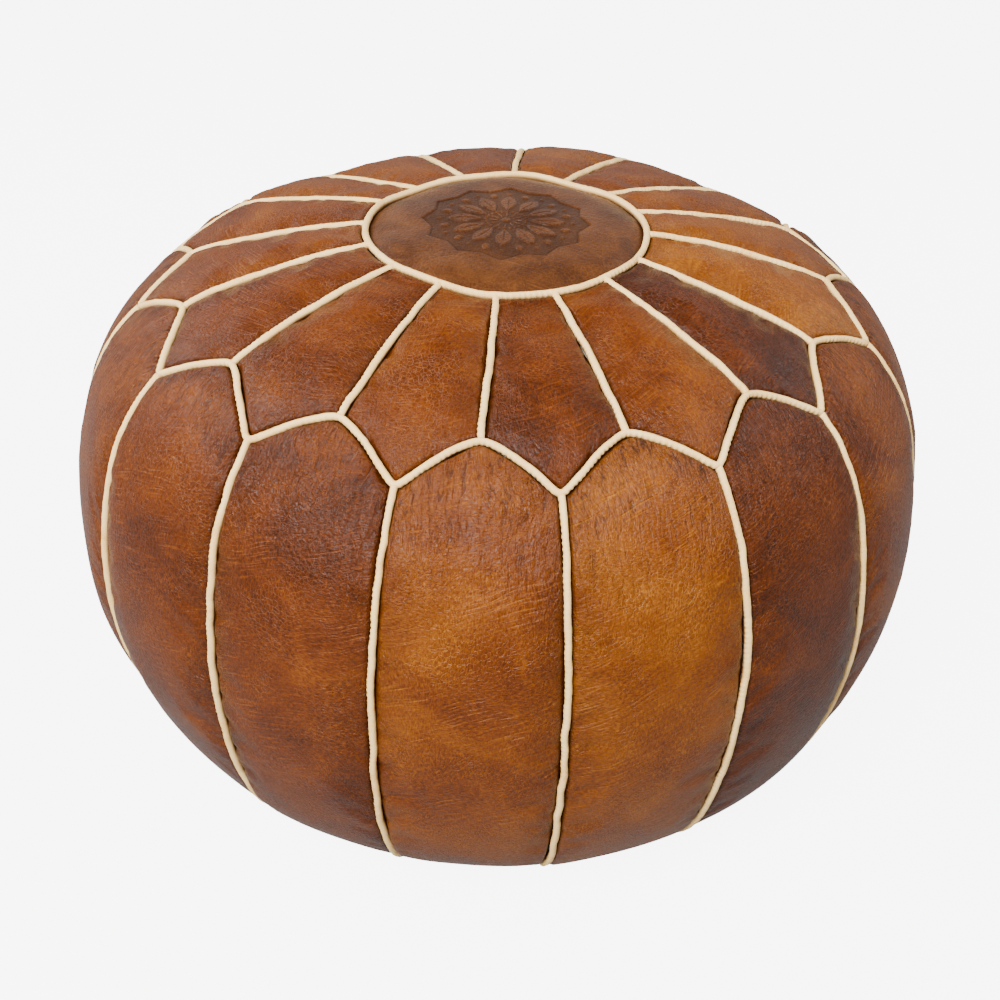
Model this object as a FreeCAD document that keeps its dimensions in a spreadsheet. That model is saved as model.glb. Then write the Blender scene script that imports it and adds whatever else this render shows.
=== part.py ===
"""Leather pouf: sixteen petals and sixteen side panels sewn with raised piping round a medallion, over a
stuffed cotton bag, with a zip across the base. Millimetres, +Z up, origin on the floor under the centre.

Every outline of the pouf's round body is one meridian: crown, shoulder, side and foot-corner arcs, a flat
foot ring, and a roll that turns up to the base seam. A piece deeper inside follows it at a constant inset.
"""
import FreeCAD, Part

import math
import os

import Sketcher
from FreeCAD import Placement, Rotation, Vector

# alias: (value, what it is)
DIMENSIONS = {
    "gores": (16, "petals, and side panels"),
    "equator_radius": (265, "radius of the widest ring"),
    "height": (350, "floor to the middle of the medallion"),
    "equator_height": (170, "height of the widest ring"),
    "crown_radius": (640, "radius of the shallow dome"),
    "shoulder_radius": (117, "radius between dome and side"),
    "side_radius": (277, "radius of the side's bulge"),
    "corner_radius": (112, "radius between side and foot"),
    "medallion_radius": (85, "ring seam round the medallion"),
    "peak_radius": (196, "plan radius where a radial seam meets the zigzag"),
    "valley_radius": (220.5, "plan radius of a petal's tip"),
    "base_radius": (120, "ring seam round the base"),
    "base_recess": (12, "height of the base's face above the floor"),
    "leather": (1.4, "thickness of the leather"),
    "piping_radius": (2.2, "radius of the raised piping"),
    "seam_gap": (0.3, "clearance between piping and leather"),
    "corner_gap": (1, "gap between a strip's end and the corner of the zigzag"),
    "bag_gap": (0.5, "clearance between piping and bag"),
    "bag_wall": (0.8, "thickness of the cotton bag"),
    "bag_floor": (19, "height of the bag's underside over the zip"),
    "bag_slit": (22, "width of the filling slit in the bag"),
    "filling_gap": (0.4, "clearance between bag and stuffing"),
    "zip_opening": (12, "width of the gap between the base halves"),
    "tape_width": (14, "width of one zip tape"),
    "tape_thickness": (0.6, "thickness of a zip tape"),
    "tape_gap": (0.1, "clearance between leather and tape, and tooth and tape"),
    "teeth": (60, "teeth in one row"),
    "tooth_pitch": (3, "distance between teeth of a row"),
    "tooth_length": (1.6, "size of a tooth along the zip"),
    "tooth_width": (2.7, "size of a tooth across the zip"),
    "tooth_depth": (2.4, "thickness of a tooth"),
    "slot_half": (0.9, "half the slot between the tooth rows"),
    "slider_length": (14, "length of the slider"),
    "slider_side": (0.8, "thickness of the slider's flanges"),
    "slider_plate": (1, "thickness of the slider's plates"),
    "slider_play": (0.3, "clearance between slider and chain"),
    "slider_slot": (1.2, "height of the slit between the slider's flanges"),
    "post_length": (2.8, "length of the slider's post"),
    "post_width": (1.1, "width of the slider's post"),
    "bridge_reach": (3.4, "from the hinge to the middle of a leg of the slider's bridge"),
    "bridge_width": (2, "width of the slider's bridge"),
    "bridge_bar": (1, "thickness of the slider's bridge"),
    "pull_length": (27, "from the pull's hinge to its end"),
    "pull_width": (7, "width of the pull"),
    "pull_thickness": (1.2, "thickness of the pull"),
    "pull_play": (0.5, "clearance between pull and slider"),
    "stop_length": (3, "length of a zip stop"),
}

doc = FreeCAD.newDocument("pouf")
sheet = doc.addObject("Spreadsheet::Sheet", "dims")
for row, (alias, (value, meaning)) in enumerate(DIMENSIONS.items(), start=1):
    sheet.set(f"A{row}", meaning)
    sheet.set(f"B{row}", str(value))
    sheet.setAlias(f"B{row}", alias)
doc.recompute()


class Sizes:
    """The sheet's values, read by alias."""

    def __getattr__(self, alias):
        return float(sheet.get(alias))


size = Sizes()
GORES = int(size.gores)
PITCH = 360 / GORES
PITCH_EXPRESSION = "360 / dims.gores"
subparts = []


def subpart(made, name):
    """Marks an object as a piece of the pouf, exported under this name."""
    made.Label = name
    subparts.append(made)
    return made


def turned(angle, height=0):
    return Placement(Vector(0, 0, height), Rotation(Vector(0, 0, 1), angle))


def bind(made, **expressions):
    """Binds properties to sheet expressions; a double underscore in a name stands for a dot."""
    for name, expression in expressions.items():
        made.setExpression(name.replace("__", "."), expression)
    return made


def box(name, length, width, height, x="0", y="0", z="0"):
    """A box with expressions for its sizes and the place of its lowest corner."""
    made = doc.addObject("Part::Box", name)
    bind(made, Length=length, Width=width, Height=height)
    return bind(made, Placement__Base__x=x, Placement__Base__y=y, Placement__Base__z=z)


def cylinder(name, radius, height, z="0"):
    made = doc.addObject("Part::Cylinder", name)
    return bind(made, Radius=radius, Height=height, Placement__Base__z=z)


def boolean(kind, name, base, tool):
    """A Part::Cut or Part::Common of two objects."""
    made = doc.addObject("Part::" + kind, name)
    made.Base = base
    made.Tool = tool
    return made


def fuse(name, *shapes):
    made = doc.addObject("Part::MultiFuse", name)
    made.Shapes = list(shapes)
    return made


# The meridian: where its arcs' centres lie, and where the arcs meet.


def crossing(first, first_radius, second, second_radius):
    """The outer of the two points where two circles cross."""
    apart = second - first
    distance = apart.Length
    along = (first_radius**2 - second_radius**2 + distance**2) / (2 * distance)
    aside = math.sqrt(first_radius**2 - along**2)
    unit = apart / distance
    normal = Vector(-unit.y, unit.x, 0)
    return max((first + unit * along + normal * s * aside for s in (1, -1)), key=lambda p: p.x)


def corner_centre(rise=0):
    """The centre of the arc that joins the side to a foot raised by rise."""
    reach = size.side_radius - size.corner_radius
    drop = size.equator_height - size.corner_radius - rise
    out = size.equator_radius - size.side_radius + math.sqrt(reach**2 - drop**2)
    return Vector(out, size.corner_radius + rise, 0)


def angle_of(vector):
    return math.atan2(vector.y, vector.x)


def unit_vector(angle):
    return Vector(math.cos(angle), math.sin(angle), 0)


CROWN = Vector(0, size.height - size.crown_radius, 0)
SIDE = Vector(size.equator_radius - size.side_radius, size.equator_height, 0)
SHOULDER = crossing(
    SIDE,
    size.side_radius - size.shoulder_radius,
    CROWN,
    size.crown_radius - size.shoulder_radius,
)
CORNER = corner_centre()
ROLL = Vector(size.base_radius + size.base_recess, size.base_recess, 0)
CROWN_END = angle_of(SHOULDER - CROWN)
SHOULDER_END = angle_of(SHOULDER - SIDE)
CROWN_LENGTH = size.crown_radius * (math.pi / 2 - CROWN_END)
DOME_LENGTH = CROWN_LENGTH + size.shoulder_radius * (CROWN_END - SHOULDER_END)
SIDE_END = angle_of(CORNER - SIDE)


def surface_height(radius):
    """Height of the leather's outer face at a plan radius on the crown or the shoulder."""
    crown_edge = size.crown_radius * math.cos(CROWN_END)
    centre, arc = (CROWN, size.crown_radius) if radius < crown_edge else (SHOULDER, size.shoulder_radius)
    return centre.y + math.sqrt(arc**2 - (radius - centre.x) ** 2)


def arc_edge(centre, radius, start, end):
    return Part.ArcOfCircle(Part.Circle(centre, Vector(0, 0, 1), radius), start, end)


def line_edge(start, end):
    return Part.LineSegment(start, end)


def form(name, inset, floor):
    """The pouf's round body at an inset from its outer face, closed by a flat floor at a height.

    inset and floor are sheet expressions. The sketch is drawn at the solution and then held by constraints.
    """
    sketch = doc.addObject("Sketcher::SketchObject", name + "_meridian")
    sketch.Placement = Placement(Vector(), Rotation(Vector(1, 0, 0), 90))
    deep = float(sheet.evalExpression(inset))
    level = float(sheet.evalExpression(floor))
    wall = size.base_radius + deep
    crown, shoulder, side, corner, foot, roll, upright, ceiling, axis = sketch.addGeometry(
        [
            arc_edge(CROWN, size.crown_radius - deep, CROWN_END, math.pi / 2),
            arc_edge(SHOULDER, size.shoulder_radius - deep, SHOULDER_END, CROWN_END),
            arc_edge(SIDE, size.side_radius - deep, SIDE_END, SHOULDER_END),
            arc_edge(CORNER, size.corner_radius - deep, -math.pi / 2, SIDE_END),
            line_edge(Vector(CORNER.x, deep), Vector(ROLL.x, deep)),
            arc_edge(ROLL, size.base_recess - deep, math.pi, 1.5 * math.pi),
            line_edge(Vector(wall, size.base_recess), Vector(wall, level)),
            line_edge(Vector(wall, level), Vector(0, level)),
            line_edge(Vector(0, level), Vector(0, size.height - deep)),
        ],
        False,
    )
    start, end, centre, origin, x_axis, y_axis = 1, 2, 3, -1, -1, -2
    hold = sketch.addConstraint
    for first, first_point, second, second_point in (
        (crown, start, shoulder, end),
        (shoulder, start, side, end),
        (side, start, corner, end),
        (corner, start, foot, start),
        (foot, end, roll, end),
        (roll, start, upright, start),
    ):
        hold(Sketcher.Constraint("Tangent", first, first_point, second, second_point))
    hold(Sketcher.Constraint("Coincident", upright, end, ceiling, start))
    hold(Sketcher.Constraint("Coincident", ceiling, end, axis, start))
    hold(Sketcher.Constraint("Coincident", axis, end, crown, end))
    hold(Sketcher.Constraint("PointOnObject", crown, centre, y_axis))
    hold(Sketcher.Constraint("PointOnObject", axis, start, y_axis))
    hold(Sketcher.Constraint("PointOnObject", axis, end, y_axis))
    hold(Sketcher.Constraint("Horizontal", foot))
    hold(Sketcher.Constraint("Horizontal", ceiling))
    hold(Sketcher.Constraint("Vertical", upright))

    def sized(kind, expression, value, *points):
        index = hold(Sketcher.Constraint(kind, *points, value))
        sketch.setExpression(f"Constraints[{index}]", expression)

    for arc, alias in (
        (crown, "crown_radius"),
        (shoulder, "shoulder_radius"),
        (side, "side_radius"),
        (corner, "corner_radius"),
        (roll, "base_recess"),
    ):
        sized("Radius", f"dims.{alias} - ({inset})", getattr(size, alias) - deep, arc)
    sized("DistanceX", "dims.equator_radius - dims.side_radius", SIDE.x, origin, start, side, centre)
    sized("DistanceY", "dims.equator_height", SIDE.y, origin, start, side, centre)
    sized("DistanceY", f"dims.height - ({inset})", size.height - deep, origin, start, crown, end)
    sized("DistanceX", f"dims.base_radius + {inset}", wall, origin, start, upright, start)
    sized("DistanceY", floor, level, origin, start, ceiling, start)
    if deep:
        sized("DistanceY", inset, deep, origin, start, foot, start)
    else:
        hold(Sketcher.Constraint("PointOnObject", foot, start, x_axis))
    solid = doc.addObject("Part::Revolution", name)
    solid.Source = sketch
    solid.Axis = Vector(0, 0, 1)
    solid.Angle = 360
    solid.Solid = True
    return solid


# Expressions that several pieces share.
EDGE = "(dims.piping_radius + dims.seam_gap)"
BASE_SEAM_HEIGHT = "(dims.base_recess + dims.leather / 2)"
LEG_LENGTH = (
    "sqrt(dims.peak_radius^2 + dims.valley_radius^2"
    " - 2 * dims.peak_radius * dims.valley_radius * cos(180 / dims.gores))"
)
LEG_DISTANCE = f"(dims.peak_radius * dims.valley_radius * sin(180 / dims.gores) / {LEG_LENGTH})"
BAG_INSET = "(2 * dims.piping_radius + dims.bag_gap)"
BAG_INSIDE = f"({BAG_INSET} + dims.bag_wall)"
FILLING_INSET = f"({BAG_INSIDE} + dims.filling_gap)"


def polygon_prism(name, corners, floor, height):
    """A prism on a closed outline whose corners are given as (x, y) sheet expressions."""
    sketch = doc.addObject("Sketcher::SketchObject", name + "_outline")
    bind(sketch, Placement__Base__z=floor)
    points = [Vector(*(float(sheet.evalExpression(e)) for e in corner)) for corner in corners]
    lines = sketch.addGeometry([line_edge(p, q) for p, q in zip(points, points[1:] + points[:1])], False)
    for line, following in zip(lines, lines[1:] + lines[:1]):
        sketch.addConstraint(Sketcher.Constraint("Coincident", line, 2, following, 1))
    for line, corner, point in zip(lines, corners, points):
        for kind, expression, value in (("DistanceX", corner[0], point.x), ("DistanceY", corner[1], point.y)):
            index = sketch.addConstraint(Sketcher.Constraint(kind, -1, 1, line, 1, value))
            sketch.setExpression(f"Constraints[{index}]", expression)
    prism = doc.addObject("Part::Extrusion", name)
    prism.Base = sketch
    prism.DirMode = "Normal"
    prism.Solid = True
    return bind(prism, LengthFwd=height)


def star_prism(name, offset, floor):
    """A prism over the zigzag seam's plan outline, with every edge moved outwards by an offset expression."""
    share = f"(1 + ({offset}) / {LEG_DISTANCE})"
    corners = []
    for step in range(2 * GORES):
        reach = "dims.valley_radius" if step % 2 else "dims.peak_radius"
        turn = f"{step} * 180 / dims.gores"
        corners.append((f"{reach} * {share} * cos({turn})", f"{reach} * {share} * sin({turn})"))
    return polygon_prism(name, corners, floor, "dims.height")


def wedge(name, middle):
    """The space of one gore between two seams, less the half width of the piping, centred on an angle."""
    tip = f"{EDGE} / sin(180 / dims.gores)"
    reach = "(1.5 * dims.equator_radius)"
    half = f"{reach} * tan(180 / dims.gores)"
    far = f"{tip} + {reach}"
    prism = polygon_prism(name, [(tip, "0"), (far, f"-{half}"), (far, half)], "0", "1.2 * dims.height")
    return bind(prism, Placement__Rotation__Angle=f"({middle}) * {PITCH_EXPRESSION}")


def gore_pieces(name, shell, first_middle):
    """Cuts a round shell into one piece for each gore, numbered anticlockwise from above."""
    for number in range(GORES):
        space = wedge(f"{name}_wedge_{number + 1:02}", f"{number} + {first_middle}")
        piece = boolean("Common", f"{name}_{number + 1:02}_body", shell, space)
        subpart(piece, f"{name}_{number + 1:02}")


# The leather cover.


def cover():
    """Medallion, petals and side panels, cut from one round shell of leather."""
    rim = "dims.base_recess + 4 * dims.leather"
    outer = form("cover_outside", "0", rim)
    inner = form("cover_inside", "dims.leather", f"{rim} + dims.leather")
    shell = boolean("Cut", "cover_shell", outer, inner)

    disc = cylinder("medallion_disc", f"dims.medallion_radius - {EDGE}", "dims.height", "dims.equator_height")
    subpart(boolean("Common", "medallion_body", shell, disc), "medallion")

    inside_zigzag = star_prism("petal_plan", f"-{EDGE}", "dims.equator_height")
    hole = cylinder("petal_hole", f"dims.medallion_radius + {EDGE}", "2 * dims.height")
    petal_band = boolean("Cut", "petal_band", boolean("Common", "petal_disc", shell, inside_zigzag), hole)
    gore_pieces("petal", petal_band, 0.5)

    inside_seam = star_prism("side_plan", EDGE, "dims.equator_height")
    below_zigzag = boolean("Cut", "side_shell", shell, inside_seam)
    base_room = cylinder(
        "base_room",
        "dims.base_radius + 2 * dims.leather",
        "dims.equator_height",
        f"{BASE_SEAM_HEIGHT} - {EDGE}",
    )
    side_band = boolean("Cut", "side_band", below_zigzag, base_room)
    gore_pieces("side_panel", side_band, 0)


# The piping: natural leather strips folded over a cord and caught in the seams.


def upright_point(point, turn):
    """A point of the meridian sketch, stood up and turned to an angle in degrees."""
    return Rotation(Vector(0, 0, 1), turn).multVec(Vector(point.x, 0, point.y))


def meridian_arc(centre, radius, start, end, turn):
    """An arc of a meridian at an angle, running from one of its own angles to another."""
    middle = (start + end) / 2
    points = [upright_point(centre + unit_vector(a) * radius, turn) for a in (start, middle, end)]
    return Part.Arc(*points).toShape()


def length_out(radius):
    """The length along the dome from the middle of the top out to a plan radius."""
    if radius < size.crown_radius * math.cos(CROWN_END):
        return size.crown_radius * math.asin(radius / size.crown_radius)
    angle = math.acos((radius - SHOULDER.x) / size.shoulder_radius)
    return CROWN_LENGTH + size.shoulder_radius * (CROWN_END - angle)


def dome_arcs(first, last, turn):
    """The arcs of a meridian at an angle, between two lengths out from the middle of the top."""
    stretches = (
        (CROWN, size.crown_radius, math.pi / 2, 0, CROWN_LENGTH),
        (SHOULDER, size.shoulder_radius, CROWN_END, CROWN_LENGTH, DOME_LENGTH),
    )
    arcs = []
    for centre, radius, angle, begin, finish in stretches:
        start, end = max(first, begin), min(last, finish)
        if start < end:
            angles = (angle - (length - begin) / radius for length in (start, end))
            arcs.append(meridian_arc(centre, radius, *angles, turn))
    return arcs


def tube(edges):
    """A round strip of piping along a run of tangent edges."""
    path = Part.Wire(edges)
    first = path.OrderedEdges[0]
    heading = first.tangentAt(first.FirstParameter)
    ring = Part.Wire(Part.makeCircle(size.piping_radius, first.valueAt(first.FirstParameter), heading))
    return path.makePipeShell([ring], True, False)


def piping_group(name, solids):
    made = doc.addObject("Part::Feature", name + "_body")
    made.Shape = Part.makeCompound(solids)
    made.Placement = Placement()
    return subpart(made, name)


def ring_piping(name, radius, height):
    made = doc.addObject("Part::Torus", name + "_body")
    bind(made, Radius1=radius, Radius2="dims.piping_radius", Placement__Base__z=height)
    return subpart(made, name)


def zigzag_leg():
    """One leg of the zigzag from the peak at angle zero to the valley beside it, mitred at both ends."""
    peak = upright_point(Vector(size.peak_radius, surface_height(size.peak_radius)), 0)
    valley = upright_point(Vector(size.valley_radius, surface_height(size.valley_radius)), PITCH / 2)
    middle = (peak + valley) / 2
    middle.z = surface_height(math.hypot(middle.x, middle.y))
    arc = Part.Arc(peak, middle, valley).toShape()
    spare = 2 * size.piping_radius / arc.Curve.Radius
    longer = Part.ArcOfCircle(arc.Curve, arc.FirstParameter - spare, arc.LastParameter + spare)
    far = 2 * size.valley_radius
    corners = [Vector(), Vector(far, 0, 0), Vector(far, far * math.tan(math.radians(PITCH / 2)), 0)]
    sector = Part.Face(Part.makePolygon(corners + corners[:1])).extrude(Vector(0, 0, size.height))
    return tube([longer.toShape()]).common(sector)


def zigzag_piping():
    """One closed strip along the zigzag: a leg and its mirror image for each gore."""
    leg = zigzag_leg()
    pair = [leg, leg.mirror(Vector(), Vector(0, 1, 0))]
    legs = [half.rotated(Vector(), Vector(0, 0, 1), n * PITCH) for n in range(GORES) for half in pair]
    piping_group("zigzag_piping", legs[0].multiFuse(legs[1:]).Solids)


def strip_lap():
    """How far a strip stops from the corner of the zigzag that it meets."""
    half_pitch = math.radians(PITCH / 2)
    outwards = size.valley_radius * math.cos(half_pitch) - size.peak_radius
    sideways = size.valley_radius * math.sin(half_pitch)
    return size.piping_radius * math.hypot(outwards, sideways) / sideways + size.corner_gap


def petal_piping():
    """Sixteen strips along the seams between petals, from the medallion's ring to the zigzag's peaks."""
    start = length_out(size.medallion_radius + size.piping_radius + size.seam_gap)
    end = length_out(size.peak_radius) - strip_lap()
    strips = [tube(dome_arcs(start, end, number * PITCH)) for number in range(GORES)]
    piping_group("petal_piping", strips)


def side_piping():
    """Sixteen strips down the seams between side panels, pressed flush with the floor under the foot."""
    rise = size.piping_radius
    corner = corner_centre(rise)
    corner_start = angle_of(corner - SIDE)
    dome_start = length_out(size.valley_radius) + strip_lap()
    roll_radius = size.base_recess - rise
    roll_end = 1.5 * math.pi - math.acos(1.5 * size.piping_radius / roll_radius)
    strips = []
    for number in range(GORES):
        turn = (number + 0.5) * PITCH
        foot = [upright_point(Vector(x, rise), turn) for x in (corner.x, ROLL.x)]
        strips.append(
            tube(
                [
                    *dome_arcs(dome_start, DOME_LENGTH, turn),
                    meridian_arc(SIDE, size.side_radius, SHOULDER_END, corner_start, turn),
                    meridian_arc(corner, size.corner_radius, corner_start, -math.pi / 2, turn),
                    line_edge(*foot).toShape(),
                    meridian_arc(ROLL, roll_radius, 1.5 * math.pi, roll_end, turn),
                ]
            )
        )
    piping_group("side_piping", strips)


def piping():
    crown_height = "dims.height - dims.crown_radius + sqrt(dims.crown_radius^2 - dims.medallion_radius^2)"
    ring_piping("medallion_piping", "dims.medallion_radius", crown_height)
    ring_piping("base_piping", "dims.base_radius", BASE_SEAM_HEIGHT)
    petal_piping()
    zigzag_piping()
    side_piping()


# The stuffing and its cotton bag.


def stuffing():
    """A cotton bag with a filling slit over the zip, and the stuffing it holds."""
    outside = form("bag_outside", BAG_INSET, "dims.bag_floor")
    inside = form("bag_inside", BAG_INSIDE, "dims.bag_floor + dims.bag_wall")
    bag = boolean("Cut", "bag_shell", outside, inside)
    slit = box(
        "bag_slit",
        "dims.teeth * dims.tooth_pitch",
        "dims.bag_slit",
        "4 * dims.bag_wall",
        "-dims.teeth * dims.tooth_pitch / 2",
        "-dims.bag_slit / 2",
        "dims.bag_floor - dims.bag_wall",
    )
    subpart(boolean("Cut", "bag_body", bag, slit), "cotton_bag")
    level = "dims.bag_floor + dims.bag_wall + dims.filling_gap"
    subpart(form("filling_body", FILLING_INSET, level), "filling")


# The base: two leather halves with a zip between them. The zip runs along X.


def base_half(name, turn):
    """A D-shaped leather half of the base."""
    body = doc.addObject("PartDesign::Body", name + "_body")
    sketch = body.newObject("Sketcher::SketchObject", name + "_outline")
    plane = next(f for f in body.Origin.OriginFeatures if f.Role == "XY_Plane")
    sketch.AttachmentSupport = (plane, [""])
    sketch.MapMode = "FlatFace"
    radius = size.base_radius - size.piping_radius - size.seam_gap
    start = math.asin(size.zip_opening / 2 / radius)
    edge, end = radius * math.cos(start), size.zip_opening / 2
    arc, chord = sketch.addGeometry(
        [
            arc_edge(Vector(), radius, start, math.pi - start),
            line_edge(Vector(-edge, end), Vector(edge, end)),
        ],
        False,
    )
    sketch.addConstraint(Sketcher.Constraint("Coincident", arc, 2, chord, 1))
    sketch.addConstraint(Sketcher.Constraint("Coincident", chord, 2, arc, 1))
    sketch.addConstraint(Sketcher.Constraint("Coincident", arc, 3, -1, 1))
    sketch.addConstraint(Sketcher.Constraint("Horizontal", chord))
    index = sketch.addConstraint(Sketcher.Constraint("Radius", arc, radius))
    sketch.setExpression(f"Constraints[{index}]", f"dims.base_radius - {EDGE}")
    index = sketch.addConstraint(Sketcher.Constraint("DistanceY", -1, 1, chord, 1, end))
    sketch.setExpression(f"Constraints[{index}]", "dims.zip_opening / 2")
    pad = body.newObject("PartDesign::Pad", name + "_pad")
    pad.Profile = sketch
    bind(pad, Length="dims.leather")
    body.Placement = turned(turn)
    bind(body, Placement__Base__z="dims.base_recess")
    return subpart(body, name)


TAPE_BOTTOM = "(dims.base_recess + dims.leather + dims.tape_gap)"
CHAIN_MIDDLE = f"({TAPE_BOTTOM} + dims.tape_thickness / 2)"
TAPE_START = "(dims.slot_half + dims.tooth_width / 2)"
TOOTH_END = "(dims.slot_half + dims.tooth_width)"


def zip_tape(name, side):
    """A woven tape that runs the whole width of the base on one side of the teeth."""
    reach = "sqrt((dims.base_radius - 2 * dims.piping_radius)^2 - (dims.tape_width + dims.slot_half)^2)"
    start = TAPE_START if side > 0 else f"-{TAPE_START} - dims.tape_width"
    depth = "dims.tape_thickness"
    tape = box(name + "_body", f"2 * {reach}", "dims.tape_width", depth, f"-{reach}", start, TAPE_BOTTOM)
    return subpart(tape, name)


def clamp(name, length, x, side):
    """A metal block clamped over the edge of a tape, starting at an x expression."""
    start = "dims.slot_half" if side > 0 else f"-{TOOTH_END}"
    low = f"{CHAIN_MIDDLE} - dims.tooth_depth / 2"
    block = box(name + "_block", length, "dims.tooth_width", "dims.tooth_depth", x, start, low)
    notch_start = f"{TAPE_START} - dims.tape_gap" if side > 0 else f"-{TOOTH_END} - dims.tape_gap"
    notch = box(
        name + "_notch",
        f"{length} + 2 * dims.tape_gap",
        "dims.tooth_width / 2 + 2 * dims.tape_gap",
        "dims.tape_thickness + 2 * dims.tape_gap",
        f"{x} - dims.tape_gap",
        notch_start,
        f"{TAPE_BOTTOM} - dims.tape_gap",
    )
    return boolean("Cut", name, block, notch)


def zip_teeth(name, side):
    """One row of teeth. The rows are staggered by half a pitch."""
    shift = 0 if side > 0 else 0.5
    first = f"(-(dims.teeth / 2) + {shift}) * dims.tooth_pitch"
    tooth = clamp(name + "_tooth", "dims.tooth_length", first, side)
    doc.recompute()
    row = doc.addObject("Part::Feature", name + "_body")
    row.Shape = Part.makeCompound(
        [tooth.Shape.translated(Vector(n * size.tooth_pitch, 0, 0)) for n in range(int(size.teeth))]
    )
    row.Placement = Placement()
    return subpart(row, name)


CHAIN_HALF = "(dims.teeth * dims.tooth_pitch / 2)"
STOP_ROOM = "(dims.tooth_pitch / 2 + dims.seam_gap)"
STOP_START = f"({CHAIN_HALF} + {STOP_ROOM})"


def zip_stops():
    """Two clamps at the closed end, and one block across both tapes at the other."""
    pair = doc.addObject("Part::Compound", "top_stops_body")
    pair.Links = [clamp(f"top_stop_{side}", "dims.stop_length", STOP_START, side) for side in (-1, 1)]
    subpart(pair, "zip_top_stops")
    far = f"-{STOP_START} - dims.stop_length"
    halves = [clamp(f"bottom_stop_{side}", "dims.stop_length", far, side) for side in (-1, 1)]
    link = box(
        "bottom_stop_link",
        "dims.stop_length",
        "2 * dims.slot_half",
        "dims.tooth_depth",
        far,
        "-dims.slot_half",
        f"{CHAIN_MIDDLE} - dims.tooth_depth / 2",
    )
    subpart(fuse("bottom_stop_body", *halves, link), "zip_bottom_stop")


# The slider and its pull. The slider's own zero is the pull's hinge, half way along it.
CHANNEL = "(dims.tooth_depth + 2 * dims.slider_play)"
SLIDER_WIDTH = f"(2 * ({TOOTH_END} + dims.slider_play + dims.slider_side))"
SLIDER_REST = f"({STOP_START} - dims.seam_gap - dims.slider_length / 2)"
SLIDER_FACE = f"({CHAIN_MIDDLE} - {CHANNEL} / 2 - dims.slider_plate)"
HINGE_ROOM = "(dims.pull_thickness / 2 + dims.pull_play)"
HINGE_HEIGHT = f"({SLIDER_FACE} - {HINGE_ROOM})"
BRIDGE_END = "(dims.bridge_reach + dims.bridge_bar / 2)"
BRIDGE_DROP = f"(2 * {HINGE_ROOM} + dims.bridge_bar)"
EYE_END = f"(sqrt({BRIDGE_END}^2 + ({BRIDGE_DROP} - {HINGE_ROOM})^2) + dims.pull_play)"
PULL_DROOP = f"asin(min(({HINGE_HEIGHT} - dims.pull_thickness) / dims.pull_length; 1))"


def slider_box(name, length, width, height, z, x_middle="0"):
    """A box centred on the slider in plan, or shifted along it."""
    return box(name, length, width, height, f"{SLIDER_REST} + {x_middle} - {length} / 2", f"-{width} / 2", z)


def zip_slider():
    """Two plates with flanges that ride on the chain, a post that parts the teeth, and a bridge."""
    depth = f"({CHANNEL} + 2 * dims.slider_plate)"
    block = slider_box("slider_block", "dims.slider_length", SLIDER_WIDTH, depth, SLIDER_FACE)
    doc.recompute()
    rounded = doc.addObject("Part::Fillet", "slider_rounded")
    rounded.Base = block
    nose = min(size.tooth_width, size.slider_length / 4)
    corners = [i for i, e in enumerate(block.Shape.Edges, 1) if abs(e.tangentAt(e.FirstParameter).z) > 0.9]
    rounded.Edges = [(i, nose, nose) for i in corners]
    room = slider_box(
        "slider_channel",
        "2 * dims.slider_length",
        f"({SLIDER_WIDTH} - 2 * dims.slider_side)",
        CHANNEL,
        f"{CHAIN_MIDDLE} - {CHANNEL} / 2",
    )
    slot = slider_box(
        "slider_slot",
        "2 * dims.slider_length",
        f"(2 * {SLIDER_WIDTH})",
        "dims.slider_slot",
        f"{CHAIN_MIDDLE} - dims.slider_slot / 2",
    )
    plates = boolean("Cut", "slider_plates", boolean("Cut", "slider_open", rounded, room), slot)
    post_place = "dims.slider_length * 0.3"
    post = slider_box("slider_post", "dims.post_length", "dims.post_width", depth, SLIDER_FACE, post_place)
    arch = slider_box(
        "bridge_arch",
        f"(2 * {BRIDGE_END})",
        "dims.bridge_width",
        f"({BRIDGE_DROP} + dims.slider_plate / 2)",
        f"{SLIDER_FACE} - {BRIDGE_DROP}",
    )
    window = slider_box(
        "bridge_window",
        f"(2 * ({BRIDGE_END} - dims.bridge_bar))",
        "(2 * dims.bridge_width)",
        f"(2 * {HINGE_ROOM})",
        f"{SLIDER_FACE} - 2 * {HINGE_ROOM}",
    )
    bridge = boolean("Cut", "slider_bridge", arch, window)
    subpart(fuse("slider_body", plates, post, bridge), "zip_slider")


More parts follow.
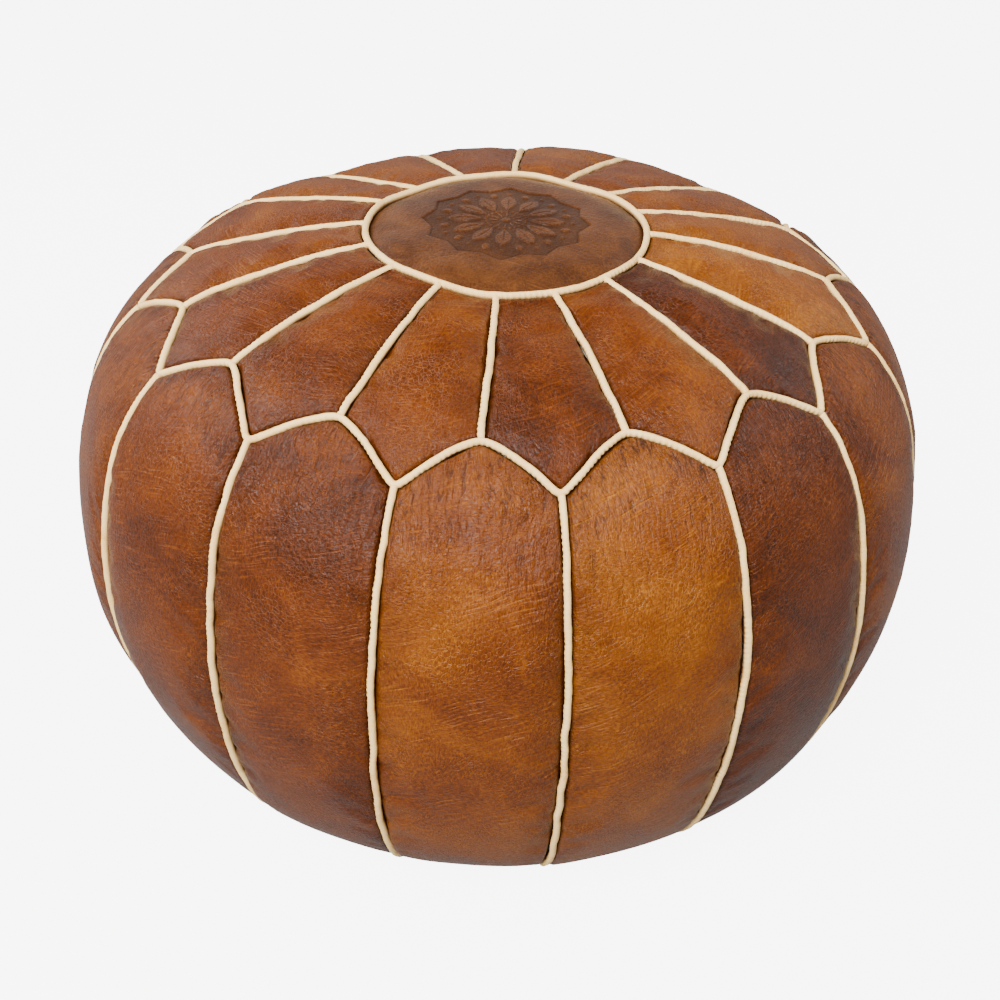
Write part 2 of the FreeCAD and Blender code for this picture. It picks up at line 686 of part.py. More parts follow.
def zip_pull():
    """A flat tab whose crossbar lies under the slider's bridge, hanging until its end meets the floor."""
    body = doc.addObject("PartDesign::Body", "pull_body")
    sketch = body.newObject("Sketcher::SketchObject", "pull_outline")
    plane = next(f for f in body.Origin.OriginFeatures if f.Role == "XY_Plane")
    sketch.AttachmentSupport = (plane, [""])
    sketch.MapMode = "FlatFace"
    half, bar = size.pull_width / 2, size.pull_thickness / 2
    arm = size.bridge_width / 2 + size.pull_play
    eye_end = float(sheet.evalExpression(EYE_END))
    end = size.pull_length - half
    sketch.addGeometry(
        [
            line_edge(Vector(bar, -half), Vector(-end, -half)),
            arc_edge(Vector(-end, 0), half, math.pi / 2, 1.5 * math.pi),
            line_edge(Vector(-end, half), Vector(bar, half)),
            line_edge(Vector(bar, half), Vector(bar, -half)),
            line_edge(Vector(-bar, -arm), Vector(-eye_end, -arm)),
            line_edge(Vector(-eye_end, -arm), Vector(-eye_end, arm)),
            line_edge(Vector(-eye_end, arm), Vector(-bar, arm)),
            line_edge(Vector(-bar, arm), Vector(-bar, -arm)),
        ],
        False,
    )
    hold = sketch.addConstraint
    for pair in ((0, 2, 1, 2), (1, 1, 2, 1)):
        hold(Sketcher.Constraint("Tangent", *pair))
    for pair in ((2, 2, 3, 1), (3, 2, 0, 1), (4, 2, 5, 1), (5, 2, 6, 1), (6, 2, 7, 1), (7, 2, 4, 1)):
        hold(Sketcher.Constraint("Coincident", *pair))
    for line in (0, 2, 4, 6):
        hold(Sketcher.Constraint("Horizontal", line))
    for line in (3, 5, 7):
        hold(Sketcher.Constraint("Vertical", line))
    hold(Sketcher.Constraint("PointOnObject", 1, 3, -1))
    for kind, line, point, value, expression in (
        ("DistanceX", 3, 1, bar, "dims.pull_thickness / 2"),
        ("DistanceY", 3, 1, half, "dims.pull_width / 2"),
        ("DistanceX", 1, 3, -end, "dims.pull_width / 2 - dims.pull_length"),
        ("DistanceX", 7, 1, -bar, "-dims.pull_thickness / 2"),
        ("DistanceX", 5, 1, -eye_end, f"-{EYE_END}"),
        ("DistanceY", 6, 1, arm, "dims.bridge_width / 2 + dims.pull_play"),
        ("DistanceY", 4, 1, -arm, "-dims.bridge_width / 2 - dims.pull_play"),
    ):
        index = hold(Sketcher.Constraint(kind, -1, 1, line, point, value))
        sketch.setExpression(f"Constraints[{index}]", expression)
    pad = body.newObject("PartDesign::Pad", "pull_pad")
    pad.Profile = sketch
    pad.SideType = "Symmetric"
    bind(pad, Length="dims.pull_thickness")
    body.Placement = Placement(Vector(), Rotation(Vector(0, -1, 0), float(sheet.evalExpression(PULL_DROOP))))
    bind(body, Placement__Base__x=SLIDER_REST, Placement__Base__z=HINGE_HEIGHT)
    bind(body, Placement__Rotation__Angle=PULL_DROOP)
    return subpart(body, "zip_pull")


def base():
    base_half("base_half_left", 0)
    base_half("base_half_right", 180)
    for side, word in ((1, "left"), (-1, "right")):
        zip_tape("zip_tape_" + word, side)
        zip_teeth("zip_teeth_" + word, side)
    zip_stops()
    zip_slider()
    zip_pull()


def check_and_export():
    """Stops on a failed feature or an unsound shape, then writes each sub-part's STEP file."""
    doc.recompute()
    failed = [o.Name for o in doc.Objects if "Invalid" in o.State or "Error" in o.State]
    if failed:
        raise RuntimeError(f"these objects failed: {failed}")
    for piece in subparts:
        shape = piece.Shape
        if shape.isNull() or not shape.isValid() or not shape.Solids:
            raise RuntimeError(f"{piece.Label} has no sound shape")
    os.makedirs("parts", exist_ok=True)
    for piece in subparts:
        piece.Shape.exportStep(os.path.join("parts", piece.Label + ".step"))
    print(f"{len(subparts)} sub-parts")
    for name, expression in (("hinge x", SLIDER_REST), ("hinge z", HINGE_HEIGHT), ("pull droop", PULL_DROOP)):
        print(name, sheet.evalExpression(expression))


cover()
piping()
stuffing()
base()
check_and_export()
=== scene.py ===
import math

import bmesh
import bpy
import numpy as np
from mathutils import Matrix, Vector, noise


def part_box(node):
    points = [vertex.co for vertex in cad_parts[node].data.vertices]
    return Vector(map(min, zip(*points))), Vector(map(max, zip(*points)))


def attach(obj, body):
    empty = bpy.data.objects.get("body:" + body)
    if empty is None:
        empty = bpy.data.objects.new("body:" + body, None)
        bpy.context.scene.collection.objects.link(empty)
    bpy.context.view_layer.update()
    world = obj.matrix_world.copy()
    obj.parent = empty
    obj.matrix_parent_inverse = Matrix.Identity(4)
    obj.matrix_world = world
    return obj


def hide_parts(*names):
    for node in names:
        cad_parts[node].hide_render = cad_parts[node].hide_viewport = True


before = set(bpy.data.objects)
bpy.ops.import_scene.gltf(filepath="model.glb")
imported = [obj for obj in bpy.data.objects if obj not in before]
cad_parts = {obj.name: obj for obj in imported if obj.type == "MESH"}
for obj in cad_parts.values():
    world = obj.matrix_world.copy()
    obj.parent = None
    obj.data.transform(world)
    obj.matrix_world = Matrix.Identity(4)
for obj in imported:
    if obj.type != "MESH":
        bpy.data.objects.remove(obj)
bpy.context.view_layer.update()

BODY = "pouf"


# FILLING
# The stuffing: cotton waste and cloth scraps packed tight, so the pouf takes its round form from them.
# The bag and the cover follow the same outline further out: a shallow dome, a tight shoulder, a bulging
# side, a rounder corner at the foot, a flat foot and a roll up to the base. Seams press into it.
EQUATOR_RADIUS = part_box("side_panel_01")[1].x
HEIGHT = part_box("medallion")[1].z
EQUATOR_HEIGHT = 0.170
CROWN_RADIUS = 0.640
SHOULDER_RADIUS = 0.117
SIDE_RADIUS = 0.277
CORNER_RADIUS = 0.112
BASE_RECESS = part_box("base_half_left")[0].z
PIPING_RADIUS = (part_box("base_piping")[1].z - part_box("base_piping")[0].z) / 2
BASE_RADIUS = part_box("base_piping")[1].x - PIPING_RADIUS
RING_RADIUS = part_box("medallion_piping")[1].x - PIPING_RADIUS
PEAK_RADIUS = 0.196
VALLEY_RADIUS = 0.2205
PEAK_BLUNT = 0.16
VALLEY_BLUNT = 0.06
GORES = 16
PITCH = 2 * math.pi / GORES
LEATHER = 0.0014
SEAMS_SUNK, SUNK_ABOVE = 0.0030, 0.07
CALM_REACH = 0.12
# Each slow wave of the form: how far it stands out, how many go round, where it starts, how it leans below.
SWAYS = (0.0022, 2, 0.7, 0), (0.0016, 3, 2.1, 4), (0.0014, 5, -1.0, 6), (0.0009, 9, 0.0, 9)


def meridian():
    """Radius, height and outward direction along the outline, from the top's middle to the base seam."""
    side = np.array([EQUATOR_RADIUS - SIDE_RADIUS, EQUATOR_HEIGHT])
    crown = np.array([0.0, HEIGHT - CROWN_RADIUS])
    near, far = SIDE_RADIUS - SHOULDER_RADIUS, CROWN_RADIUS - SHOULDER_RADIUS
    distance = np.hypot(*(crown - side))
    along = (near**2 - far**2 + distance**2) / (2 * distance)
    aside = math.sqrt(near**2 - along**2)
    unit = (crown - side) / distance
    sides = [side + unit * along + turn * aside * np.array([-unit[1], unit[0]]) for turn in (-1, 1)]
    shoulder = max(sides, key=lambda centre: centre[0])
    reach, drop = SIDE_RADIUS - CORNER_RADIUS, EQUATOR_HEIGHT - CORNER_RADIUS
    corner = np.array([side[0] + math.sqrt(reach**2 - drop**2), CORNER_RADIUS])
    roll = np.array([BASE_RADIUS + BASE_RECESS, BASE_RECESS])
    crown_end = math.atan2(*(shoulder - crown)[::-1])
    shoulder_end = math.atan2(*(shoulder - side)[::-1])
    side_end = math.atan2(*(corner - side)[::-1])
    points, outwards = [], []
    for centre, radius, start, end in (
        (crown, CROWN_RADIUS, math.pi / 2, crown_end),
        (shoulder, SHOULDER_RADIUS, crown_end, shoulder_end),
        (side, SIDE_RADIUS, shoulder_end, side_end),
        (corner, CORNER_RADIUS, side_end, -math.pi / 2),
        (roll, BASE_RECESS, -math.pi / 2, -math.pi),
    ):
        turn = np.linspace(start, end, 400)
        out = np.stack([np.cos(turn), np.sin(turn)], 1)
        points.append(centre + radius * out)
        outwards.append(out)
    return np.concatenate(points), np.concatenate(outwards)


OUTLINE, OUTWARD = meridian()
ALONG = np.concatenate([[0], np.cumsum(np.maximum(np.hypot(*np.diff(OUTLINE, axis=0).T), 1e-9))])
TO_EQUATOR = int(np.argmax(OUTLINE[:, 0]))
BASE_SEAM = ALONG[-1]


def outline_radius(along):
    return np.interp(along, ALONG, OUTLINE[:, 0])


def along_at(radius):
    """How far along the outline its upper half reaches a plan radius."""
    return np.interp(radius, OUTLINE[:TO_EQUATOR, 0], ALONG[:TO_EQUATOR])


def settled(along, angle):
    """How far the pouf stands out of its round form, because it was stuffed by hand and has been sat on."""
    height = np.interp(along, ALONG, OUTLINE[:, 1])
    calm = np.clip(height / CALM_REACH, 0, 1) ** 2 * np.clip(outline_radius(along) / CALM_REACH, 0, 1) ** 2
    low = along / BASE_SEAM
    sway = sum(size * np.sin(waves * angle + start + lean * low) for size, waves, start, lean in SWAYS)
    return sway * calm - SEAMS_SUNK * np.clip(height / SUNK_ABOVE, 0, 1)


def outward_at(along, angle):
    """The direction straight out of the round form."""
    flat = np.interp(along, ALONG, OUTWARD[:, 0])
    up = np.interp(along, ALONG, OUTWARD[:, 1])
    size = np.hypot(flat, up)
    return np.stack([flat * np.cos(angle), flat * np.sin(angle), up + 0 * angle], -1) / size[..., None]


def form(along, angle, lift=0.0):
    """Points of the pouf's form at distances along its outline and angles round it, lifted outwards."""
    along, angle, lift = np.broadcast_arrays(along, angle, lift)
    radius = outline_radius(along)
    height = np.interp(along, ALONG, OUTLINE[:, 1])
    round_form = np.stack([radius * np.cos(angle), radius * np.sin(angle), height], -1)
    return round_form + outward_at(along, angle) * (lift + settled(along, angle))[..., None]


def zigzag_radius(angle):
    """Plan radius of the zigzag seam at an angle: straight legs, blunt at the peaks, tight in the valleys."""
    share = np.abs((np.asarray(angle) / PITCH + 0.5) % 1 - 0.5) * 2
    share = np.sqrt(share**2 + PEAK_BLUNT**2) - PEAK_BLUNT * (1 - share)
    rest = 1 - share
    share = 1 - (np.sqrt(rest**2 + VALLEY_BLUNT**2) - VALLEY_BLUNT * (1 - rest))
    turn = share * PITCH / 2
    valley = VALLEY_RADIUS * np.array([math.cos(PITCH / 2), math.sin(PITCH / 2)])
    leg = valley - [PEAK_RADIUS, 0]
    return PEAK_RADIUS * leg[1] / (np.cos(turn) * leg[1] - np.sin(turn) * leg[0])


def seam_distances(along, angle):
    """Distances from points of the cover to the zigzag, to the upright seams and to the end seams."""
    radius = outline_radius(along)
    zigzag = along_at(zigzag_radius(angle))
    slope = (along_at(zigzag_radius(angle + 0.004)) - along_at(zigzag_radius(angle - 0.004))) / 0.008
    to_zigzag = np.abs(along - zigzag) / np.sqrt(1 + (slope / np.maximum(radius, 0.1)) ** 2)
    above = along < zigzag
    shifted = np.where(above, angle, angle + PITCH / 2)
    to_upright = np.abs((shifted / PITCH + 0.5) % 1 - 0.5) * PITCH * radius
    to_end = np.where(above, np.abs(along - along_at(RING_RADIUS)), BASE_SEAM - along)
    inside_ring = along < along_at(RING_RADIUS)
    return to_zigzag, np.where(inside_ring, 1.0, to_upright), to_end


def pressed(along, angle, depth, width):
    """How deep the cover's seams press into what lies under them."""
    nearest = np.minimum.reduce(seam_distances(along, angle))
    return depth * np.exp(-((nearest / width) ** 2))


def rough(points, scale, seed, octaves=1):
    """Smooth random values from about -1 to 1 at points given in metres."""
    shift = Vector((seed * 7.31, seed * 3.17, seed * 5.71))
    flat = (points / scale).reshape(-1, 3)
    if octaves == 1:
        values = [noise.noise(Vector(place) + shift) for place in flat.tolist()]
    else:
        values = [noise.fractal(Vector(place) + shift, 0.6, 2.1, octaves) for place in flat.tolist()]
    return np.array(values).reshape(points.shape[:-1])


def grid_mesh(name, points, wrap=False, top=None, bottom=None):
    """A mesh of quads on a grid of points. Its columns may close on themselves and its ends may be capped."""
    rows, columns = points.shape[:2]
    last = columns if wrap else columns - 1
    row, column = np.meshgrid(np.arange(rows - 1), np.arange(last), indexing="ij")
    right = (column + 1) % columns
    this_row, next_row = row * columns, (row + 1) * columns
    corners = (this_row + column, next_row + column, next_row + right, this_row + right)
    faces = np.stack(corners, -1).reshape(-1, 4).tolist()
    vertices = points.reshape(-1, 3).tolist()
    for point, first, turn in ((top, 0, 1), (bottom, (rows - 1) * columns, -1)):
        if point is not None:
            pole = len(vertices)
            vertices.append(list(point))
            faces += [[pole, first + k, first + (k + 1) % columns][::turn] for k in range(columns)]
    mesh = bpy.data.meshes.new(name)
    mesh.from_pydata(vertices, [], faces)
    mesh.polygons.foreach_set("use_smooth", [True] * len(mesh.polygons))
    return mesh


def give(mesh, **values):
    """Stores a value at each of a mesh's points, for its material."""
    for name, value in values.items():
        stored = mesh.attributes.new(name, "FLOAT", "POINT")
        full = np.zeros(len(mesh.vertices), np.float32)
        full[: value.size] = value.ravel()
        stored.data.foreach_set("value", full)


def give_map(mesh, name, places):
    """Stores a flat place in metres at each of a mesh's points as a UV map."""
    corner = np.empty(len(mesh.loops), np.int32)
    mesh.loops.foreach_get("vertex_index", corner)
    full = np.zeros((len(mesh.vertices), 2), np.float32)
    full[: places.size // 2] = places.reshape(-1, 2)
    mesh.uv_layers.new(name=name).data.foreach_set("uv", full[corner].ravel())


def add_object(name, mesh, *materials):
    made = bpy.data.objects.new(name, mesh)
    bpy.context.scene.collection.objects.link(made)
    for material in materials:
        mesh.materials.append(material)
    return made


def fasten(piece, slot, *nodes, body=BODY):
    """Fixes a finished piece to its body and hides the nodes that it stands for. Its slot is not used."""
    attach(piece, body)
    if nodes:
        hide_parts(*nodes)
    return piece


def thicken(piece, thickness):
    """Gives a sheet its thickness, inwards."""
    thick = piece.modifiers.new("thickness", "SOLIDIFY")
    thick.thickness = thickness
    thick.offset = -1
    thick.use_quality_normals = True
    return piece


def wire(tree, socket, value):
    """Feeds a node's input from another node, or sets it."""
    if isinstance(value, bpy.types.NodeSocket):
        tree.links.new(value, socket)
    elif socket.type == "RGBA" and len(value) == 3:
        socket.default_value = (*value, 1)
    else:
        socket.default_value = value


def add_node(tree, kind, inputs=None, **settings):
    """Adds a node with its settings, and feeds its inputs by name or by number."""
    node = tree.nodes.new(kind)
    for label, value in settings.items():
        setattr(node, label, value)
    for label, value in (inputs or {}).items():
        wire(tree, node.inputs[label], value)
    return node


def maths(tree, operation, *values):
    return add_node(tree, "ShaderNodeMath", dict(enumerate(values)), operation=operation).outputs[0]


def times(tree, first, second):
    return maths(tree, "MULTIPLY", first, second)


def vectors(tree, operation, *values):
    kind = "ShaderNodeVectorMath"
    return add_node(tree, kind, dict(enumerate(values)), operation=operation).outputs["Vector"]


def scaled(tree, vector, scale):
    """A vector times one number."""
    made = add_node(tree, "ShaderNodeVectorMath", {0: vector, "Scale": scale}, operation="SCALE")
    return made.outputs["Vector"]


def total(tree, *values):
    """The sum of several values."""
    result = values[0]
    for value in values[1:]:
        result = maths(tree, "ADD", result, value)
    return result


def speckle(tree, place, scale, detail=2.0, roughness=0.5, distortion=0.0):
    """A noise texture's value, from 0 to 1, at a place."""
    inputs = {"Vector": place, "Scale": scale, "Detail": detail, "Roughness": roughness}
    return add_node(tree, "ShaderNodeTexNoise", {**inputs, "Distortion": distortion}).outputs["Fac"]


def spread(tree, value, low, high, to_low=0.0, to_high=1.0):
    """Maps a value's range onto another, and holds it at the ends."""
    inputs = {"Value": value, "From Min": low, "From Max": high, "To Min": to_low, "To Max": to_high}
    return add_node(tree, "ShaderNodeMapRange", inputs).outputs["Result"]


def ramp(tree, value, *stops):
    """A colour that runs through (place, colour) stops."""
    node = add_node(tree, "ShaderNodeValToRGB", {"Fac": value})
    stripes = node.color_ramp.elements
    while len(stripes) < len(stops):
        stripes.new(0.5)
    for stripe, (place, colour) in zip(stripes, stops):
        stripe.position = place
        stripe.color = (*colour, 1)
    return node.outputs["Color"]


def mingle(tree, share, first, second, kind="MIX"):
    """One colour over another by a share."""
    node = add_node(tree, "ShaderNodeMix", data_type="RGBA", blend_type=kind)
    for socket, value in (("Factor", share), (6, first), (7, second)):
        wire(tree, node.inputs[socket], value)
    return node.outputs[2]


def stored(tree, name, output="Fac"):
    """A value, or with Vector a place, that a mesh carries."""
    return add_node(tree, "ShaderNodeAttribute", attribute_name=name).outputs[output]


def own_place(tree):
    return add_node(tree, "ShaderNodeTexCoord").outputs["Object"]


def new_material(name, **sockets):
    """A material, its node tree and its shader, with what is the same all over set on the shader."""
    made = bpy.data.materials.new(name)
    made.use_nodes = True
    shader = made.node_tree.nodes["Principled BSDF"]
    for label, value in sockets.items():
        wire(made.node_tree, shader.inputs[label.replace("_", " ")], value)
    return made, made.node_tree, shader


def new_group(name, kind, takes, gives):
    """A group of nodes: its tree, the values that it takes, and the sockets of what it gives."""
    tree = bpy.data.node_groups.new(name, kind)
    for way, labels in (("INPUT", takes), ("OUTPUT", gives)):
        for label, socket in labels.items():
            tree.interface.new_socket(label, in_out=way, socket_type="NodeSocket" + socket)
    start, end = tree.nodes.new("NodeGroupInput"), tree.nodes.new("NodeGroupOutput")
    return tree, start.outputs, end.inputs


def dress(tree, shader, colour, roughness, height, depth):
    """Gives a shader its colour, its roughness and bump of a real depth in metres."""
    bump = add_node(tree, "ShaderNodeBump", {"Strength": 1.0, "Distance": depth, "Height": height})
    made = {"Base Color": colour, "Roughness": roughness, "Normal": bump.outputs["Normal"]}
    for label, value in made.items():
        wire(tree, shader.inputs[label], value)


FILL_ROWS, FILL_COLUMNS = 90, 160
FILL_DEPTH = 0.0062
FILL_LUMP, FILL_LUMP_SPACING = 0.0016, 0.022
FILL_GROOVE, FILL_GROOVE_WIDTH = 0.004, 0.009
TOP_HOLE = 0.004
BAG_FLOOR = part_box("cotton_bag")[0].z + 0.019


def stuffing():
    """A lumpy closed form of packed cotton, flat over the base."""
    floor = BAG_FLOOR + 0.0030
    along = np.concatenate([np.linspace(TOP_HOLE, BASE_SEAM, FILL_ROWS), [BASE_SEAM] * 5])[:, None]
    angle = np.linspace(0, 2 * math.pi, FILL_COLUMNS, endpoint=False)[None]
    points = form(along, angle, -FILL_DEPTH - pressed(along, angle, FILL_GROOVE, FILL_GROOVE_WIDTH))
    rise = np.linspace(0, 1, 6)[:, None, None]
    rim = points[FILL_ROWS - 1 : FILL_ROWS] * [1, 1, 0]
    inner = rim * (1 - 0.9 * rise[1:] ** 2)
    points[FILL_ROWS:] = inner + [0, 0, 1] * (BASE_RECESS + (floor - BASE_RECESS) * np.sqrt(rise[1:]))
    lumps = rough(points, FILL_LUMP_SPACING, 3, 2) * FILL_LUMP
    lumps = np.abs(lumps) * np.linspace(1, 0.1, len(points))[:, None]
    points -= outward_at(along, angle) * lumps[..., None]
    middle = [0, 0, points[-1, :, 2].mean()]
    return grid_mesh("stuffing", points, wrap=True, top=form(0.0, 0.0, -FILL_DEPTH), bottom=middle)


wadding, tree, shader = new_material("packed cotton wadding", Sheen_Weight=0.3)
place = own_place(tree)
tangle = speckle(tree, vectors(tree, "MULTIPLY", place, (1.0, 1.0, 2.2)), 160.0, 5.0, 0.7, 1.5)
scraps = add_node(tree, "ShaderNodeTexVoronoi", {"Vector": place, "Scale": 38.0, "Randomness": 1.0})
SCRAP_COLOURS = (0.0, (0.55, 0.48, 0.38)), (0.6, (0.74, 0.70, 0.60)), (1.0, (0.45, 0.40, 0.38))
tint = ramp(tree, scraps.outputs["Color"], *SCRAP_COLOURS)
tint = mingle(tree, spread(tree, tangle, 0.3, 0.7, 0.0, 0.5), tint, (0.85, 0.82, 0.75))
dress(tree, shader, tint, 0.95, tangle, 0.003)
filling = fasten(add_object("stuffing", stuffing(), wadding), "stuffing", "filling")


# COTTON BAG
# A bag of unbleached calico that keeps the stuffing in, sewn from eight gores. It has a slit above the zip,
# through which it was filled, and it goes tight against the cover, with fine wrinkles.
BAG_DEPTH = 0.0030
BAG_WALL = 0.0008
BAG_ROWS, BAG_COLUMNS, FLOOR_ROWS = 110, 256, 22
BAG_GORES = 8
SLIT_LENGTH, SLIT_WIDTH = 0.180, 0.022
BAG_SEAM, BAG_SEAM_WIDTH = 0.0007, 0.003
BAG_GROOVE, BAG_GROOVE_WIDTH = 0.0034, 0.007
BAG_WRINKLE, BAG_WRINKLE_SPACING = 0.0006, 0.013


def bag_mesh():
    """The bag's cloth from the middle of its top, over the side and in to the slit in its floor."""
    along = np.linspace(TOP_HOLE, BASE_SEAM, BAG_ROWS)[:, None]
    angle = np.linspace(0, 2 * math.pi, BAG_COLUMNS, endpoint=False)[None]
    to_gore = np.abs((angle * BAG_GORES / (2 * math.pi) + 0.5) % 1 - 0.5) * 2 * math.pi / BAG_GORES
    tucked = BAG_SEAM * np.exp(-((to_gore * outline_radius(along) / BAG_SEAM_WIDTH) ** 2))
    side = form(along, angle, -BAG_DEPTH - tucked - pressed(along, angle, BAG_GROOVE, BAG_GROOVE_WIDTH))
    wrinkles = rough(side * [1, 1, 0.5], BAG_WRINKLE_SPACING, 9) * BAG_WRINKLE
    side -= outward_at(along, angle) * np.abs(wrinkles)[..., None]
    share = np.linspace(0, 1, FLOOR_ROWS + 1)[1:, None]
    rim = outline_radius(BASE_SEAM) + BAG_DEPTH
    half_straight = (SLIT_LENGTH - SLIT_WIDTH) / 2
    slit_x = np.clip(rim * np.cos(angle), -half_straight, half_straight) + np.cos(angle) * SLIT_WIDTH / 2
    slit_y = np.clip(rim * np.sin(angle), -SLIT_WIDTH / 2, SLIT_WIDTH / 2)
    x = (1 - share) * rim * np.cos(angle) + share * slit_x
    y = (1 - share) * rim * np.sin(angle) + share * slit_y
    height = BASE_RECESS + (BAG_FLOOR - BASE_RECESS) * np.minimum(1, share * 5) ** 0.5
    floor = np.stack([x, y, height + 0 * x], -1)
    return grid_mesh("bag", np.concatenate([side, floor]), True, top=form(0.0, 0.0, -BAG_DEPTH))


def weave_group():
    """Plain weave: warp and weft threads that pass over and under each other."""
    takes, gives = {"Place": "Vector", "Thread Pitch": "Float"}, {"Height": "Float", "Slubs": "Float"}
    tree, given, results = new_group("plain weave", "ShaderNodeTree", takes, gives)
    turns = maths(tree, "DIVIDE", math.pi, given["Thread Pitch"])
    apart = add_node(tree, "ShaderNodeSeparateXYZ", {0: given["Place"]})
    across, along = (maths(tree, "SINE", times(tree, apart.outputs[k], turns)) for k in (0, 1))
    over = times(tree, across, along)
    threads = maths(tree, "ADD", maths(tree, "ABSOLUTE", across), maths(tree, "ABSOLUTE", along))
    wire(tree, results["Height"], maths(tree, "ADD", times(tree, over, 0.4), threads))
    wire(tree, results["Slubs"], speckle(tree, given["Place"], 900.0, 3.0, 0.6))
    return tree


WEAVE = weave_group()
WEAVE_DEPTH = 0.0002


def woven(name, thread, dark, light):
    """Cloth in plain weave between two colours."""
    made, tree, shader = new_material(name, Sheen_Weight=0.25)
    cloth = add_node(tree, "ShaderNodeGroup", node_tree=WEAVE)
    wire(tree, cloth.inputs["Place"], own_place(tree))
    wire(tree, cloth.inputs["Thread Pitch"], thread)
    threads = times(tree, cloth.outputs["Height"], 0.3)
    value = total(tree, threads, times(tree, cloth.outputs["Slubs"], 0.6))
    tint = ramp(tree, value, (0.2, dark), (0.9, light))
    dress(tree, shader, tint, 0.9, cloth.outputs["Height"], WEAVE_DEPTH)
    return made


calico = woven("unbleached calico", 0.0007, (0.50, 0.44, 0.34), (0.72, 0.67, 0.56))
bag = thicken(add_object("cotton_bag_sewn", bag_mesh(), calico), BAG_WALL)
fasten(bag, "bag_cotton", "cotton_bag")
faces = np.empty(len(bag.data.polygons), np.float32)
bag.data.polygons.foreach_get("area", faces)


# BASE HALVES
# Two D-shaped pieces of the same goat leather with a less careful finish. Their straight edges are folded and
# stitched to the zip's tapes, and they hang a little slack between the zip and the round seam.
LEATHER_DARK = (0.026, 0.0052, 0.0006)
LEATHER_MIDDLE = (0.102, 0.0205, 0.0010)
LEATHER_LIGHT = (0.196, 0.0530, 0.0020)
LEATHER_PALE = (0.320, 0.1120, 0.0090)
GRAIN_DEPTH = 0.0005
ZIP_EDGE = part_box("base_half_left")[0].y
HALF_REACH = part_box("base_half_left")[1].x
HALF_ROWS, HALF_ACROSS = 44, 120
SAG, SAG_REACH, STIFF_FOLD = 0.0022, 0.035, 0.012
BASE_WRINKLE = 0.0008
RIM_PUCKER, RIM_PUCKER_REACH = 0.0012, 0.015
STITCHED_IN, EDGE_ROLL = 0.0005, 0.0008
SCUFF_SLANT = 0.35


def hide_group():
    """Goat hide: clouds of dye, short fibres that turn with the skin, and a fine pebbled grain."""
    takes = {"Place": "Vector", "Cloud Size": "Float"}
    gives = dict.fromkeys(("Clouds", "Fibres", "Grain", "Creases", "Cracks"), "Float")
    tree, given, results = new_group("goat hide", "ShaderNodeTree", takes, gives)
    place = given["Place"]
    wide = scaled(tree, place, maths(tree, "DIVIDE", 1.0, given["Cloud Size"]))
    clouds = speckle(tree, wide, 1.0, 4.5, 0.62, 0.6)
    sway = add_node(tree, "ShaderNodeTexNoise", {"Vector": place, "Scale": 26.0, "Detail": 1.5})
    bend = vectors(tree, "SUBTRACT", sway.outputs["Color"], (0.5, 0.5, 0.5))
    bent = vectors(tree, "MULTIPLY_ADD", bend, (0.010, 0.010, 0.0), place)
    steep = speckle(tree, vectors(tree, "MULTIPLY", bent, (1300.0, 380.0, 1.0)), 1.0, 3.5, 0.64)
    level = speckle(tree, vectors(tree, "MULTIPLY", bent, (400.0, 1200.0, 1.0)), 1.0, 3.5, 0.64)
    which = spread(tree, speckle(tree, place, 18.0, 1.0), 0.42, 0.58)
    steep = times(tree, steep, maths(tree, "SUBTRACT", 1.0, which))
    fibres = total(tree, steep, times(tree, level, which))
    cells = {"Vector": bent, "Scale": 520.0, "Smoothness": 0.35}
    pebbles = add_node(tree, "ShaderNodeTexVoronoi", cells, feature="SMOOTH_F1")
    fine = speckle(tree, bent, 1500.0)
    pebbles = times(tree, pebbles.outputs["Distance"], -0.9)
    grain = total(tree, pebbles, times(tree, fine, 0.5))
    creases = speckle(tree, vectors(tree, "MULTIPLY", bent, (330.0, 90.0, 1.0)), 1.0, 3.0, 0.6, 0.9)
    cells = {"Vector": bent, "Scale": 400.0}
    edges = add_node(tree, "ShaderNodeTexVoronoi", cells, feature="DISTANCE_TO_EDGE")
    crazing = spread(tree, edges.outputs["Distance"], 0.0, 0.10, 1.0, 0.0)
    slant = {"Vector": bent, "Rotation": (0.0, 0.0, SCUFF_SLANT)}
    slanted = add_node(tree, "ShaderNodeMapping", slant).outputs["Vector"]
    scuffs = speckle(tree, vectors(tree, "MULTIPLY", slanted, (45.0, 800.0, 1.0)), 1.0, 2.5, 0.55)
    scuffs = spread(tree, scuffs, 0.50, 0.68)
    worn = spread(tree, speckle(tree, place, 28.0, 2.0), 0.40, 0.60)
    crazing = times(tree, crazing, worn)
    scuffs = times(tree, scuffs, maths(tree, "SUBTRACT", 1.0, worn))
    cracks = maths(tree, "MAXIMUM", crazing, scuffs)
    for label, value in zip(gives, (clouds, fibres, grain, creases, cracks)):
        wire(tree, results[label], value)
    return tree


HIDE = hide_group()


def hide_nodes(tree, cloud_size):
    """Places the goat hide effect on a piece's own flat map."""
    node = add_node(tree, "ShaderNodeGroup", node_tree=HIDE)
    wire(tree, node.inputs["Place"], stored(tree, "hide", "Vector"))
    wire(tree, node.inputs["Cloud Size"], cloud_size)
    return node.outputs


